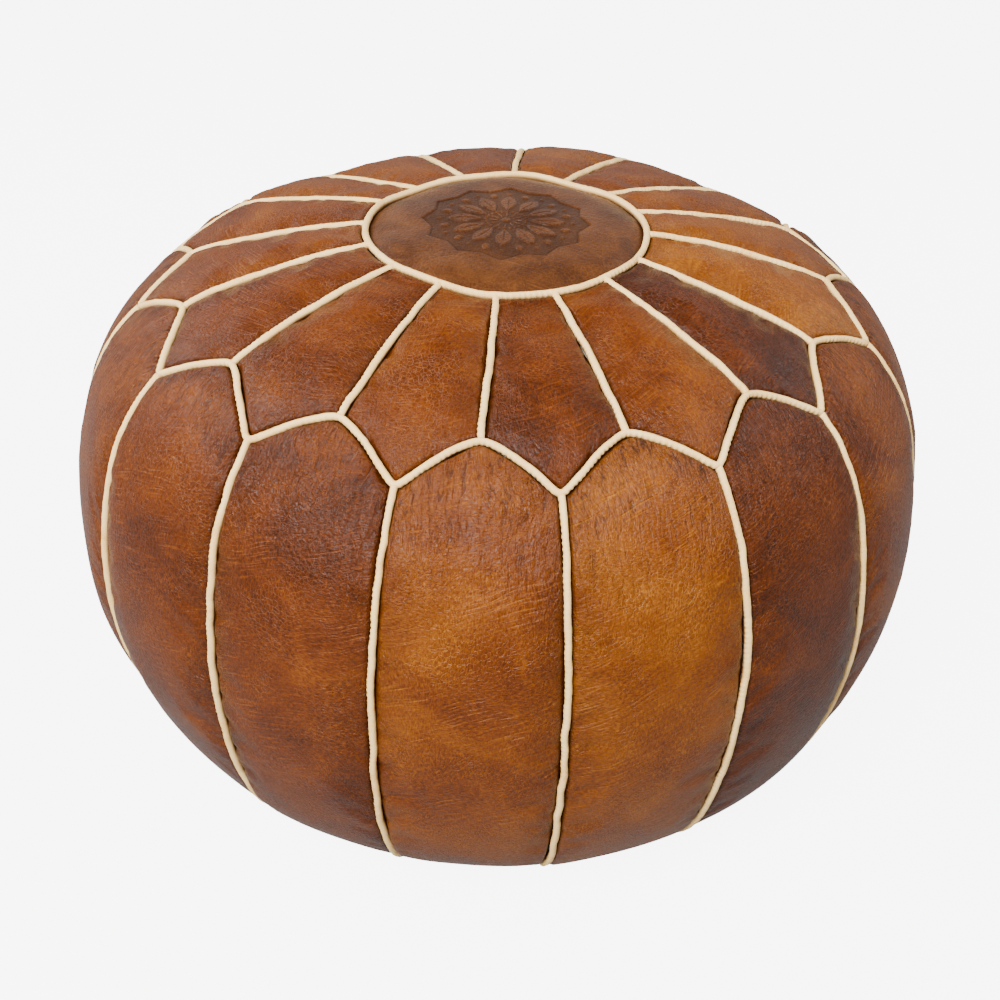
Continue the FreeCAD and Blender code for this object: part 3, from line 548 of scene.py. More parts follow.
def goat_leather(name, colours, cloud_size):
    """Hand-dyed leather: darker towards its seams, partly dye and partly painted shade, with painted shade in
    the creases where it gathers, and lighter or darker by the piece's own tone.
    """
    made, tree, shader = new_material(name, Specular_IOR_Level=0.18)
    hide = hide_nodes(tree, cloud_size)
    strokes = spread(tree, hide["Fibres"], 0.38, 0.62, -0.5, 0.5)
    clouds = spread(tree, hide["Clouds"], 0.32, 0.68)
    dye = total(tree, times(tree, clouds, 0.34), stored(tree, "tone"))
    dye = total(tree, dye, times(tree, strokes, 0.34))
    dye = total(tree, dye, times(tree, hide["Cracks"], 0.26))
    dark, middle, light, pale = colours
    colour = ramp(tree, dye, (0.0, dark), (0.35, middle), (0.70, light), (1.0, pale))
    # Painted shade along the seams: darker close to them and softly further out, partly dye gathered at the
    # seams and partly painted shade in the seam valleys.
    to_seam = stored(tree, "seam")
    shade = spread(tree, to_seam, 0.0008, 0.0045, 0.6, 0.0)
    shade = total(tree, shade, spread(tree, to_seam, 0.0, 0.022, 0.3, 0.0))
    gathers = stored(tree, "gathers")
    # Painted shade in the creases where the leather gathers, near the zigzag and the base seams.
    crease_shade = times(tree, spread(tree, hide["Creases"], 0.48, 0.36, 0.0, 0.95), gathers)
    shade = maths(tree, "MAXIMUM", shade, crease_shade)
    polish = total(tree, spread(tree, clouds, 0.0, 1.0, 0.33, 0.42), times(tree, strokes, -0.08))
    gathered = total(tree, times(tree, gathers, 3.4), 0.40)
    crinkle = times(tree, times(tree, hide["Creases"], gathered), 1.5)
    skin = times(tree, hide["Grain"], 0.6)
    skin = total(tree, skin, times(tree, hide["Fibres"], 0.6), crinkle)
    skin = total(tree, skin, times(tree, hide["Cracks"], -0.5))
    dress(tree, shader, mingle(tree, shade, colour, dark), polish, skin, GRAIN_DEPTH)
    return made


base_leather = goat_leather(
    "plain goat leather", (LEATHER_DARK, LEATHER_MIDDLE, LEATHER_MIDDLE, LEATHER_LIGHT), 0.07
)


def base_half(node, side):
    """A D of leather seen from below, from its zip edge to the round seam."""
    reach = math.sqrt(HALF_REACH**2 - ZIP_EDGE**2) - 0.0002
    turn = np.linspace(-math.pi / 2, math.pi / 2, HALF_ACROSS)
    x = (reach * np.sin(turn))[None]
    share = np.linspace(0, 1, HALF_ROWS)[:, None] ** 0.9
    y = ZIP_EDGE + (np.sqrt(HALF_REACH**2 - x**2) - ZIP_EDGE) * share
    to_rim, to_zip = HALF_REACH - np.hypot(x, y), y - ZIP_EDGE
    slack = np.minimum(np.clip(to_rim / SAG_REACH, 0, 1), np.clip((to_zip - STIFF_FOLD) / SAG_REACH, 0, 1))
    places = np.stack([x + 0 * y, y, 0 * y], -1)
    wrinkles = rough(places * [0.5, 1, 1], 0.016, 5 + side, 2) * BASE_WRINKLE
    around = np.stack([np.arctan2(y, x), 0 * y, 0 * y], -1)
    puckers = rough(around, 0.06, 15 + side) * RIM_PUCKER * np.exp(-to_rim / RIM_PUCKER_REACH)
    stitched = STITCHED_IN * np.exp(-(((to_zip - 0.002) / 0.0025) ** 2))
    fold = EDGE_ROLL * np.exp(-((to_zip / 0.0006) ** 2)) - stitched
    sagging = SAG * slack**2 * (3 - 2 * slack)
    height = BASE_RECESS - sagging + wrinkles * slack + puckers * np.clip(to_rim / 0.004, 0, 1) + fold
    points = np.stack([x + 0 * y, side * y, height], -1)
    order = points if side < 0 else points[:, ::-1]
    mesh = grid_mesh(node + "_leather", order)
    give_map(mesh, "hide", order[..., :2] + [0.4 * side, 0.9])
    rim_gap = np.minimum(to_rim, to_zip * 2)
    rim_gap = rim_gap if side < 0 else rim_gap[:, ::-1]
    give(mesh, seam=rim_gap + 0.001, tone=np.full(rim_gap.shape, 0.24), gathers=np.exp(-rim_gap / 0.02) * 0.6)
    made = fasten(thicken(add_object(node + "_leather", mesh, base_leather), LEATHER), "base_leather", node)


base_half("base_half_left", 1)
base_half("base_half_right", -1)


# ZIP
# A brass zip with woven tapes. Its teeth are blocks clamped on the tapes' edges in two staggered rows, its
# slider and pull are cast brass, and a row of waxed thread stitches holds each tape under its leather.
def finish_node(name, material):
    """Gives a plain part its material."""
    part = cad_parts[name]
    part.data.materials.clear()
    part.data.materials.append(material)
    return part


tape_cloth = woven("zip tape weave", 0.0006, (0.016, 0.007, 0.004), (0.06, 0.030, 0.018))
for side in ("left", "right"):
    finish_node(f"zip_tape_{side}", tape_cloth)

brass, tree, shader = new_material("aged brass", Metallic=1.0)
place = own_place(tree)
tarnish = speckle(tree, place, 260.0, 4.0, 0.6)
tint = ramp(tree, tarnish, (0.3, (0.22, 0.12, 0.035)), (0.55, (0.56, 0.37, 0.12)), (0.8, (0.80, 0.60, 0.26)))
scratches = speckle(tree, vectors(tree, "MULTIPLY", place, (400.0, 2600.0, 1200.0)), 1.0)
wear = total(tree, scratches, tarnish)
dress(tree, shader, tint, spread(tree, tarnish, 0.3, 0.7, 0.55, 0.28), wear, 0.00003)
for name in ("zip_top_stops", "zip_bottom_stop", "zip_slider", "zip_pull"):
    part = finish_node(name, brass)
    part.modifiers.new("merged", "WELD").merge_threshold = 0.00001
    rounding = part.modifiers.new("rounded", "BEVEL")
    rounding.width = 0.00018
    rounding.segments = 2
    rounding.limit_method = "ANGLE"
    rounding.angle_limit = math.radians(35)


def complete(tree, geometry, finish, result):
    """Ends a Geometry Nodes tree: what it made becomes real and takes its finish."""
    real = add_node(tree, "GeometryNodeRealizeInstances", {0: geometry})
    inputs = {"Geometry": real.outputs[0], "Material": finish}
    wire(tree, result, add_node(tree, "GeometryNodeSetMaterial", inputs).outputs[0])


def row_tree():
    """Geometry Nodes: one small part repeated along the zip."""
    takes = {
        "Carrier": "Geometry",
        "Part": "Object",
        "Count": "Int",
        "Pitch": "Float",
        "First": "Vector",
        "Unevenness": "Float",
        "Finish": "Material",
    }
    tree, given, results = new_group("row along the zip", "GeometryNodeTree", takes, {"Row": "Geometry"})
    step = add_node(tree, "ShaderNodeCombineXYZ", {0: given["Pitch"]}).outputs[0]
    spaced = {"Count": given["Count"], "Start Location": given["First"], "Offset": step}
    line = add_node(tree, "GeometryNodeMeshLine", spaced)
    part = add_node(tree, "GeometryNodeObjectInfo", {"Object": given["Part"]})
    tilt = add_node(tree, "FunctionNodeRandomValue", {"Seed": 7}, data_type="FLOAT_VECTOR")
    spin = vectors(tree, "SUBTRACT", tilt.outputs[0], (0.5, 0.5, 0.5))
    spin = vectors(tree, "MULTIPLY", spin, (0.3, 0.3, 1.0))
    turn = scaled(tree, spin, given["Unevenness"])
    placing = {"Points": line.outputs["Mesh"], "Instance": part.outputs["Geometry"], "Rotation": turn}
    put = add_node(tree, "GeometryNodeInstanceOnPoints", placing)
    complete(tree, put.outputs["Instances"], given["Finish"], results["Row"])
    return tree


def grown(carrier, tree, inputs):
    """Turns what a Geometry Nodes tree makes from a carrier into the carrier's own plain mesh."""
    growth = carrier.modifiers.new(tree.name, "NODES")
    growth.node_group = tree
    for item in tree.interface.items_tree:
        if item.item_type == "SOCKET" and item.in_out == "INPUT" and item.name in inputs:
            growth[item.identifier] = inputs[item.name]
    made = bpy.data.meshes.new_from_object(carrier.evaluated_get(bpy.context.evaluated_depsgraph_get()))
    made.name = carrier.name
    carrier.modifiers.clear()
    carrier.data = made
    return carrier


def small_part(name, outline, thickness, rounding):
    """A small cast part: an outline in X and Y given a thickness in Z, with rounded edges."""
    shape = bmesh.new()
    low = [shape.verts.new((x, y, -thickness / 2)) for x, y in outline]
    face = shape.faces.new(low)
    raised = bmesh.ops.extrude_face_region(shape, geom=[face])["geom"]
    corners = [item for item in raised if isinstance(item, bmesh.types.BMVert)]
    bmesh.ops.translate(shape, vec=(0, 0, thickness), verts=corners)
    bmesh.ops.recalc_face_normals(shape, faces=shape.faces)
    bmesh.ops.bevel(shape, geom=shape.edges[:], offset=rounding, segments=1, affect="EDGES")
    mesh = bpy.data.meshes.new(name)
    shape.to_mesh(mesh)
    shape.free()
    return add_object(name, mesh)


ROW = row_tree()
TEETH = 60
TOOTH_PITCH = 0.003
teeth_low, teeth_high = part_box("zip_teeth_left")
TOOTH_DEPTH = teeth_high.z - teeth_low.z
HEAD, NECK, FOOT = 0.00078, 0.0005, 0.0008
tooth_row_middle = (teeth_low.z + teeth_high.z) / 2
for side, word in ((1, "left"), (-1, "right")):
    foot = [(-FOOT, teeth_high.y), (-FOOT, 0.0022)]
    half = foot + [(-NECK, 0.0019), (-NECK, 0.0015), (-HEAD, 0.0012), (-HEAD * 0.8, 0.00085)]
    loop = [(x, y * side) for x, y in half] + [(-x, y * side) for x, y in reversed(half)]
    tooth = small_part("tooth", loop, TOOTH_DEPTH, 0.0001)
    rank = add_object(f"zip_teeth_{word}_brass", bpy.data.meshes.new("row"))
    first = -TEETH / 2 * TOOTH_PITCH + FOOT + (0 if side > 0 else TOOTH_PITCH / 2)
    settings = {"Part": tooth, "Count": TEETH, "Pitch": TOOTH_PITCH, "First": (first, 0, tooth_row_middle)}
    grown(rank, ROW, {**settings, "Unevenness": 0.02, "Finish": brass})
    bpy.data.objects.remove(tooth)
    fasten(rank, "zip_metal", f"zip_teeth_{word}")

thread, tree, shader = new_material("waxed thread")
twist = speckle(tree, vectors(tree, "MULTIPLY", own_place(tree), (900.0, 2600.0, 900.0)), 1.0)
tint = ramp(tree, twist, (0.3, (0.16, 0.085, 0.035)), (0.7, (0.48, 0.32, 0.17)))
dress(tree, shader, tint, 0.6, twist, 0.0001)
STITCH, STITCH_GAP, STITCH_THICK = 0.0030, 0.0011, 0.0007
STITCH_COUNT = 48
for side, word in ((1, "left"), (-1, "right")):
    loop = [(-STITCH / 2, 0.0), (-STITCH / 3, -STITCH_THICK / 2), (STITCH / 3, -STITCH_THICK / 2)]
    loop += [(-x, -y) for x, y in loop]
    stitch = small_part("stitch", loop, STITCH_THICK, STITCH_THICK * 0.25)
    seam = add_object(f"zip_stitches_{word}", bpy.data.meshes.new("row"))
    pitch = STITCH + STITCH_GAP
    first = (-(STITCH_COUNT - 1) / 2 * pitch, side * (ZIP_EDGE + 0.0040), BASE_RECESS - 0.0004)
    settings = {"Part": stitch, "Count": STITCH_COUNT, "Pitch": pitch, "First": first}
    grown(seam, ROW, {**settings, "Unevenness": 0.16, "Finish": thread})
    bpy.data.objects.remove(stitch)
    fasten(seam, "zip_tape")


# SIDE PANELS AND PETALS
# The cover: panels and petals of hand-dyed goat leather, sewn inside out, turned and stuffed. The seams hold
# and the leather between them swells, with puckers where a curved edge was eased into the zigzag seam.
HALF_COLUMNS = 12
PETAL_ROWS = 28
SIDE_ROWS = 100
SEAM_DEPTH = 0.0012
COLUMNS = 2 * HALF_COLUMNS * GORES
MOST_SWELLING, FULL_SWELLING_HEIGHT = 0.010, 0.070
SWELL_STEPS = 16


def cover_grid():
    """The cover's places before it swells: rows from the ring to the base seam, columns round the pouf."""
    angle = np.arange(COLUMNS) * PITCH / (2 * HALF_COLUMNS)
    ring, zigzag = along_at(RING_RADIUS), along_at(zigzag_radius(angle))
    upper = ring + (zigzag - ring) * np.linspace(0, 1, PETAL_ROWS + 1)[:, None]
    lower = zigzag + (BASE_SEAM - zigzag) * np.linspace(0, 1, SIDE_ROWS + 1)[1:, None]
    along = np.concatenate([upper, lower])
    return along, np.broadcast_to(angle, along.shape)


def swell(along, angle):
    """The cover's points after the stuffing swells the leather between its seams."""
    rows, columns = along.shape
    row, column = np.meshgrid(np.arange(rows), np.arange(columns), indexing="ij")
    held = (row == 0) | (row == PETAL_ROWS) | (row == rows - 1)
    held |= (row <= PETAL_ROWS) & (column % (2 * HALF_COLUMNS) == 0)
    held |= (row >= PETAL_ROWS) & ((column + HALF_COLUMNS) % (2 * HALF_COLUMNS) == 0)
    start = form(along, angle, np.where(held, -SEAM_DEPTH, 0.0008))
    cover = add_object("swelling_cover", grid_mesh("swelling_cover", start, wrap=True))
    pins = cover.vertex_groups.new(name="seams")
    pins.add(np.flatnonzero(held.ravel()).tolist(), 1.0, "REPLACE")
    cloth = cover.modifiers.new("stuffed", "CLOTH")
    settings = cloth.settings
    settings.quality = 4
    settings.mass = 0.35
    settings.tension_stiffness = 18
    settings.compression_stiffness = 18
    settings.shear_stiffness = 9
    settings.bending_stiffness = 3.0
    settings.use_pressure = True
    settings.uniform_pressure_force = 4.5
    settings.shrink_min = -0.012
    settings.vertex_group_mass = "seams"
    settings.effector_weights.gravity = 0
    cloth.collision_settings.use_collision = False
    cloth.point_cache.frame_start, cloth.point_cache.frame_end = 1, SWELL_STEPS
    for step in range(1, SWELL_STEPS + 1):
        bpy.context.scene.frame_set(step)
    shown = cover.evaluated_get(bpy.context.evaluated_depsgraph_get())
    moved = np.empty(rows * columns * 3, np.float32)
    shown.data.vertices.foreach_get("co", moved)
    bpy.context.scene.frame_set(1)
    bpy.data.objects.remove(cover)
    change = moved.reshape(start.shape).astype(float) - start
    length = np.linalg.norm(change, axis=-1, keepdims=True)
    standing = np.clip(start[..., 2:] / FULL_SWELLING_HEIGHT, 0.12, 1)
    return start + change * np.minimum(1, MOST_SWELLING / np.maximum(length, 1e-9)) * standing


ALONG_GRID, ANGLE_GRID = cover_grid()
SWOLLEN = swell(ALONG_GRID, ANGLE_GRID)


def spline_at(grid, places, axis):
    """Values of a smooth spline through a grid's rows or columns, at places counted in them."""
    grid = np.moveaxis(grid, axis, 0)
    last = len(grid) - 1
    whole = np.clip(np.floor(places).astype(int), 0, last - 1)
    shape = (-1, *[1] * (grid.ndim - 1))
    t = (places - whole).reshape(shape)
    first, second = grid[whole], grid[whole + 1]
    before = np.where((whole > 0).reshape(shape), grid[np.maximum(whole - 1, 0)], 2 * first - second)
    after = np.where((whole < last - 1).reshape(shape), grid[np.minimum(whole + 2, last)], 2 * second - first)
    bend = 2 * before - 5 * first + 4 * second - after
    value = first + 0.5 * t * (second - before + t * (bend + t * (3 * (first - second) + after - before)))
    return np.moveaxis(value, 0, axis)


def close_at_ends(count, per_step):
    """Places along a run of grid steps, close together at both ends, where the leather turns in."""
    ends = [0, 0.14, 0.3, 0.5, 0.75, 1.05, 1.4, 1.8, 2.3]
    middle = np.linspace(2.8, count - 2.8, int((count - 5.6) * per_step) + 1)
    return np.concatenate([ends, middle, [count - place for place in reversed(ends)]])


TURN_IN, TURN_IN_WIDTH = 0.0019, 0.0028
PUCKER, PUCKER_SPACING, PUCKER_REACH = 0.0011, 0.0075, 0.028
TUCK, TUCK_SPACING, TUCK_REACH = 0.0005, 0.009, 0.014
UNEVEN, UNEVEN_SPACING = 0.0009, 0.055
CALM_AT_SEAM = 0.004
PETAL_EASE, SIDE_EASE = 0.4, 1.0
GATHER_FADE = 0.05

cover_leather = goat_leather(
    "hand dyed goat leather", (LEATHER_DARK, LEATHER_MIDDLE, LEATHER_LIGHT, LEATHER_PALE), 0.055
)


def panel(node, rows, columns, is_petal, middle, tone, number):
    """One sewn panel of leather between its seams, from its part of the swollen cover."""
    name = node + "_leather"
    taken = np.ix_(rows, columns % COLUMNS)
    rows_at = close_at_ends(len(rows) - 1, 1.6)
    columns_at = close_at_ends(len(columns) - 1, 1.8)
    fine = spline_at(spline_at(SWOLLEN[taken], rows_at, 0), columns_at, 1)
    along = spline_at(spline_at(ALONG_GRID[taken], rows_at, 0), columns_at, 1)
    turn = columns * PITCH / (2 * HALF_COLUMNS)
    angle = np.broadcast_to(np.interp(columns_at, np.arange(len(columns)), turn), along.shape)
    to_zigzag, to_upright, to_end = seam_distances(along, angle)
    to_upright = (PITCH / 2 - np.abs(angle - middle)) * outline_radius(along)
    to_end = along - along_at(RING_RADIUS) if is_petal else BASE_SEAM - along
    nearest = np.maximum(np.minimum.reduce([to_zigzag, to_upright, to_end]), 0)
    flat = np.stack([(angle - middle) * outline_radius(along), along, 0 * along], -1)
    out = np.cross(np.gradient(fine, axis=0), np.gradient(fine, axis=1))
    out /= np.maximum(np.linalg.norm(out, axis=-1, keepdims=True), 1e-12)
    eased = PETAL_EASE if is_petal else SIDE_EASE
    gathers = rough(flat * [1, 0.16, 1], PUCKER_SPACING, number)
    gathers *= np.exp(-(((to_zigzag - 0.004) / PUCKER_REACH) ** 2))
    tucks = rough(flat * [0.22, 1, 1], TUCK_SPACING, number + 40)
    tucks *= np.exp(-((to_upright / TUCK_REACH) ** 2))
    uneven = rough(flat, UNEVEN_SPACING, number + 80)
    calm = 1 - np.exp(-((nearest / CALM_AT_SEAM) ** 2))
    lift = (eased * PUCKER * 1.6 * gathers + TUCK * 1.6 * tucks + UNEVEN * uneven) * calm
    lift -= TURN_IN * np.exp(-((nearest / TURN_IN_WIDTH) ** 2))
    fine = fine + out * lift[..., None]
    fine[..., 2] = np.maximum(fine[..., 2], 0.0002)
    mesh = grid_mesh(name, fine)
    give_map(mesh, "hide", flat[..., :2] + [0.37 * number, 0.61 * number])
    gathers = np.exp(-to_zigzag / GATHER_FADE) * eased
    give(mesh, seam=nearest, gathers=gathers, tone=np.full(nearest.shape, tone))
    made = fasten(thicken(add_object(name, mesh, cover_leather), LEATHER), "cover_leather", node)


TONE = 0.30
PETAL_TONES = (
    *(0.10, 0.02, -0.06, 0.06, -0.10, 0.0, 0.06, -0.07),
    *(-0.07, -0.27, -0.22, -0.09, -0.28, -0.12, -0.42, 0.18),
)
SIDE_TONES = (
    *(0.02, -0.10, 0.06, -0.06, 0.08, 0.0, -0.08, 0.06),
    *(-0.06, -0.14, -0.21, -0.22, -0.06, 0.04, -0.28, -0.10),
)

for index in range(GORES):
    first = index * 2 * HALF_COLUMNS
    columns = np.arange(first, first + 2 * HALF_COLUMNS + 1)
    middle, tone = (index + 0.5) * PITCH, TONE + PETAL_TONES[index]
    panel(f"petal_{index + 1:02}", np.arange(PETAL_ROWS + 1), columns, True, middle, tone, index + 1)
    rows = np.arange(PETAL_ROWS, PETAL_ROWS + SIDE_ROWS + 1)
    middle, tone = index * PITCH, TONE + SIDE_TONES[index]
    panel(f"side_panel_{index + 1:02}", rows, columns - HALF_COLUMNS, False, middle, tone, index + 21)


# MEDALLION
# A round of darker leather sewn in the middle of the top. While damp it was pressed with a rosette of simple
# tools: a twelve-cornered outline, twelve petals, dots near the rim and thin rays round the centre.
CORNERS = 12
PRESS_ROWS, PRESS_COLUMNS = 112, 372
STAR_TIP, STAR_NOTCH = 0.0505, 0.0452
PETAL_START, PETAL_END, PETAL_HALF = 0.0140, 0.0350, 0.0050
VEIN_AT, DROP_AT, DOT_AT, BEAD_AT, RAY_AT = 0.0240, 0.0375, 0.0400, 0.0122, 0.0078
RAISED, SUNK, GROOVED = 0.0008, 0.0006, 0.0007
MIDDLE_SWELLING = 0.0030


def bump_shape(distance, half, soft):
    """1 inside a shape's half width, 0 outside it, with a soft edge."""
    step = np.clip((half - distance) / soft + 0.5, 0, 1)
    return step * step * (3 - 2 * step)


def pressed_rosette(radius, angle):
    """Height of the tooled leather and how dark the dye stands, at places on the medallion."""
    sector = 2 * math.pi / CORNERS
    turn = (angle / sector + 0.5) % 1 - 0.5
    between = (angle / sector) % 1 - 0.5
    off, off_between = np.abs(turn * sector) * radius, np.abs(between * sector) * radius
    from_tip = np.abs(turn) * sector
    edge = STAR_TIP * np.sin(from_tip) + STAR_NOTCH * np.sin(sector / 2 - from_tip)
    star = STAR_TIP * STAR_NOTCH * math.sin(sector / 2) / edge
    inside = bump_shape(radius, star, 0.0016)
    outline = bump_shape(np.abs(radius - star), 0.0005, 0.0011)
    along = np.clip((radius - PETAL_START) / (PETAL_END - PETAL_START), 0, 1)
    half = PETAL_HALF * np.sin(math.pi * along**1.3) ** 0.8
    gap = off - half
    in_petal = (radius > PETAL_START) & (radius < PETAL_END)
    petal = bump_shape(gap, 0.0, 0.0011) * in_petal
    vein = bump_shape(off, 0.0003, 0.0008) * in_petal * bump_shape(np.abs(radius - VEIN_AT), 0.006, 0.003)
    drop = bump_shape(np.hypot(off_between, (radius - DROP_AT) * 0.75), 0.0021, 0.0010)
    dot = bump_shape(np.hypot(off, radius - DOT_AT), 0.0013, 0.0008)
    beads = (angle / sector * 2 + 0.5) % 1 - 0.5
    bead = bump_shape(np.hypot(np.abs(beads) * sector / 2 * radius, radius - BEAD_AT), 0.0009, 0.0007)
    rays = bump_shape(off, 0.0004, 0.0007) * bump_shape(np.abs(radius - RAY_AT), 0.0026, 0.0008)
    button = bump_shape(radius, 0.0026, 0.0010)
    raised = np.maximum.reduce([petal * (1 - 0.55 * vein), drop, dot * 0.8, bead * 0.8, rays * 0.7, button])
    height = RAISED * raised - SUNK * inside - GROOVED * outline
    rim = bump_shape(np.abs(gap), 0.0004, 0.0008) * in_petal
    dark = np.clip(inside * (0.8 - 0.8 * raised) + 0.9 * outline + 0.5 * rim + 0.5 * vein * petal, 0, 1)
    return height, dark


def medallion_mesh():
    radius = np.linspace(0, 1, PRESS_ROWS + 1)[1:, None] * RING_RADIUS
    angle = np.linspace(0, 2 * math.pi, PRESS_COLUMNS, endpoint=False)[None]
    radius, angle = np.broadcast_arrays(radius, angle)
    height, dark = pressed_rosette(radius, angle)
    to_seam = RING_RADIUS - radius
    places = np.stack([radius * np.cos(angle), radius * np.sin(angle), 0 * radius], -1)
    uneven = rough(places, 0.03, 61) * 0.0012 * np.clip(to_seam / 0.01, 0, 1)
    puckers = rough(places, 0.0085, 62) * 0.0006 * np.exp(-to_seam / 0.010) * np.clip(to_seam / 0.003, 0, 1)
    swelling = MIDDLE_SWELLING * (1 - np.exp(-((to_seam / 0.012) ** 2)))
    edge = SEAM_DEPTH + TURN_IN * np.exp(-((to_seam / TURN_IN_WIDTH) ** 2))
    points = form(along_at(radius), angle, swelling - edge + height + uneven + puckers)
    mesh = grid_mesh("medallion_leather", points, wrap=True, top=points[0].mean(0))
    give_map(mesh, "hide", places[..., :2] + 5.0)
    give(mesh, seam=to_seam, dark=dark, raised=np.clip(height / RAISED + 0.5, 0, 1))
    return mesh


medallion_finish, tree, shader = new_material("pressed dark leather", Specular_IOR_Level=0.24)
hide = hide_nodes(tree, 0.03)
clouds = spread(tree, hide["Clouds"], 0.3, 0.7)
strokes = spread(tree, hide["Fibres"], 0.34, 0.66, -0.5, 0.5)
dye = total(tree, times(tree, clouds, 0.5), times(tree, strokes, 0.3), 0.30)
dye = total(tree, dye, times(tree, hide["Cracks"], 0.30))
DYES = (0.0, (0.018, 0.0045, 0.001)), (0.5, (0.058, 0.0170, 0.0034)), (1.0, (0.130, 0.042, 0.008))
tint = ramp(tree, dye, *DYES)
tint = mingle(tree, times(tree, stored(tree, "dark"), 0.62), tint, (0.014, 0.0045, 0.0015))
shade = spread(tree, stored(tree, "seam"), 0.0008, 0.0050, 0.8, 0.0)
tint = mingle(tree, shade, tint, LEATHER_DARK)
polish = spread(tree, stored(tree, "raised"), 0.0, 1.0, 0.52, 0.36)
skin = total(tree, hide["Grain"], times(tree, hide["Creases"], 0.8))
dress(tree, shader, tint, polish, skin, 0.0004)
medallion = thicken(add_object("medallion_leather", medallion_mesh(), medallion_finish), LEATHER)
fasten(medallion, "medallion_leather", "medallion")


# PIPING
# Strips of undyed leather, folded and sewn into every seam, so that a rounded edge stands proud between the
# panels. One side shows the pull of the stitches. A strip that ends is tucked under the one that it meets.
STRIP_HALF_WIDTH = 0.0020
STRIP_CREST = 0.0021
STRIP_ROOT = 0.0034
STITCH_PITCH, STITCH_DEPTH = 0.0032, 0.0005
STRIP_WOBBLE = 0.0009
SLOW_WAVER, QUICK_WAVER = 0.0013, 0.0008
STRIP_BOTTOM = 0.0001
END_GAP = 0.0012


def piping_tree():
    """Geometry Nodes: a strip of piping swept along its seam, with stitch dimples down one side."""
    takes = {
        "Seam": "Geometry",
        "Half Width": "Float",
        "Crest": "Float",
        "Root": "Float",
        "Round Points": "Int",
        "Stitch Pitch": "Float",
        "Stitch Depth": "Float",
        "Wobble": "Float",
        "Finish": "Material",
    }
    tree, given, results = new_group("piping strip", "GeometryNodeTree", takes, {"Strip": "Geometry"})

    def step(kind, inputs=None, **settings):
        return add_node(tree, "GeometryNode" + kind, inputs, **settings).outputs[0]

    def read(name, kind="FLOAT"):
        return step("InputNamedAttribute", {"Name": name}, data_type=kind)

    def mark(geometry, name, value):
        inputs = {"Geometry": geometry, "Name": name, "Value": value}
        return step("StoreNamedAttribute", inputs, domain="POINT")

    line = step("MeshToCurve", {"Mesh": given["Seam"]})
    outwards = read("seam_out", "FLOAT_VECTOR")
    line = step("SetCurveNormal", {"Curve": line, "Normal": outwards}, mode="FREE")
    where = step("InputPosition")
    size = spread(tree, speckle(tree, where, 75.0), 0.3, 0.7, 0.82, 1.08)
    line = step("SetCurveRadius", {"Curve": line, "Radius": size})
    length = add_node(tree, "GeometryNodeSplineParameter").outputs["Length"]
    line = mark(line, "run", length)

    circle = step("CurvePrimitiveCircle", {"Resolution": given["Round Points"], "Radius": 1.0})
    rise, across = add_node(tree, "ShaderNodeSeparateXYZ", {0: where}).outputs[:2]
    circle = mark(mark(circle, "rise", rise), "across", across)
    above = times(tree, maths(tree, "MAXIMUM", rise, 0.0), given["Crest"])
    below = times(tree, maths(tree, "MINIMUM", rise, 0.0), given["Root"])
    sizes = {0: maths(tree, "ADD", above, below), 1: times(tree, across, given["Half Width"])}
    section = add_node(tree, "ShaderNodeCombineXYZ", sizes).outputs[0]
    shaped = step("SetPosition", {"Geometry": circle, "Position": section})
    swept = step("CurveToMesh", {"Curve": line, "Profile Curve": shaped, "Fill Caps": True})

    beat = times(tree, maths(tree, "DIVIDE", read("run"), given["Stitch Pitch"]), 2 * math.pi)
    beat = spread(tree, maths(tree, "COSINE", beat), -1.0, 1.0)
    beat = times(tree, beat, spread(tree, speckle(tree, where, 90.0), 0.35, 0.65, 0.2, 1.3))
    one_side = spread(tree, read("across"), 0.1, 0.8)
    one_side = times(tree, one_side, spread(tree, read("rise"), -0.9, -0.2))
    dimple = times(tree, times(tree, beat, one_side), given["Stitch Depth"])
    uneven = maths(tree, "SUBTRACT", speckle(tree, where, 150.0), 0.5)
    uneven = times(tree, uneven, given["Wobble"])
    shift = scaled(tree, step("InputNormal"), maths(tree, "SUBTRACT", uneven, dimple))
    moved = step("SetPosition", {"Geometry": swept, "Offset": shift})
    smooth = step("SetShadeSmooth", {"Geometry": moved})
    complete(tree, smooth, given["Finish"], results["Strip"])
    return tree


undyed, tree, shader = new_material("undyed goat leather", Specular_IOR_Level=0.35)
place = own_place(tree)
patches = speckle(tree, place, 45.0, 3.0, 0.6)
pores = speckle(tree, place, 900.0, 3.0, 0.6)
value = total(tree, times(tree, patches, 0.6), times(tree, pores, 0.4))
tint = ramp(tree, value, (0.30, (0.74, 0.38, 0.12)), (0.44, (0.98, 0.62, 0.22)), (0.65, (1.0, 0.70, 0.30)))
# Darker towards the strip's foot: partly brown stain, partly painted shade in the gap where the strip meets
# the panels.
stain_and_gap_shade = spread(tree, stored(tree, "rise"), -0.45, 0.15, 0.9, 0.0)
tint = mingle(tree, stain_and_gap_shade, tint, (0.16, 0.055, 0.012))
polish = spread(tree, pores, 0.3, 0.7, 0.62, 0.5)
dress(tree, shader, tint, polish, total(tree, pores, patches), 0.00025)

PIPING = piping_tree()


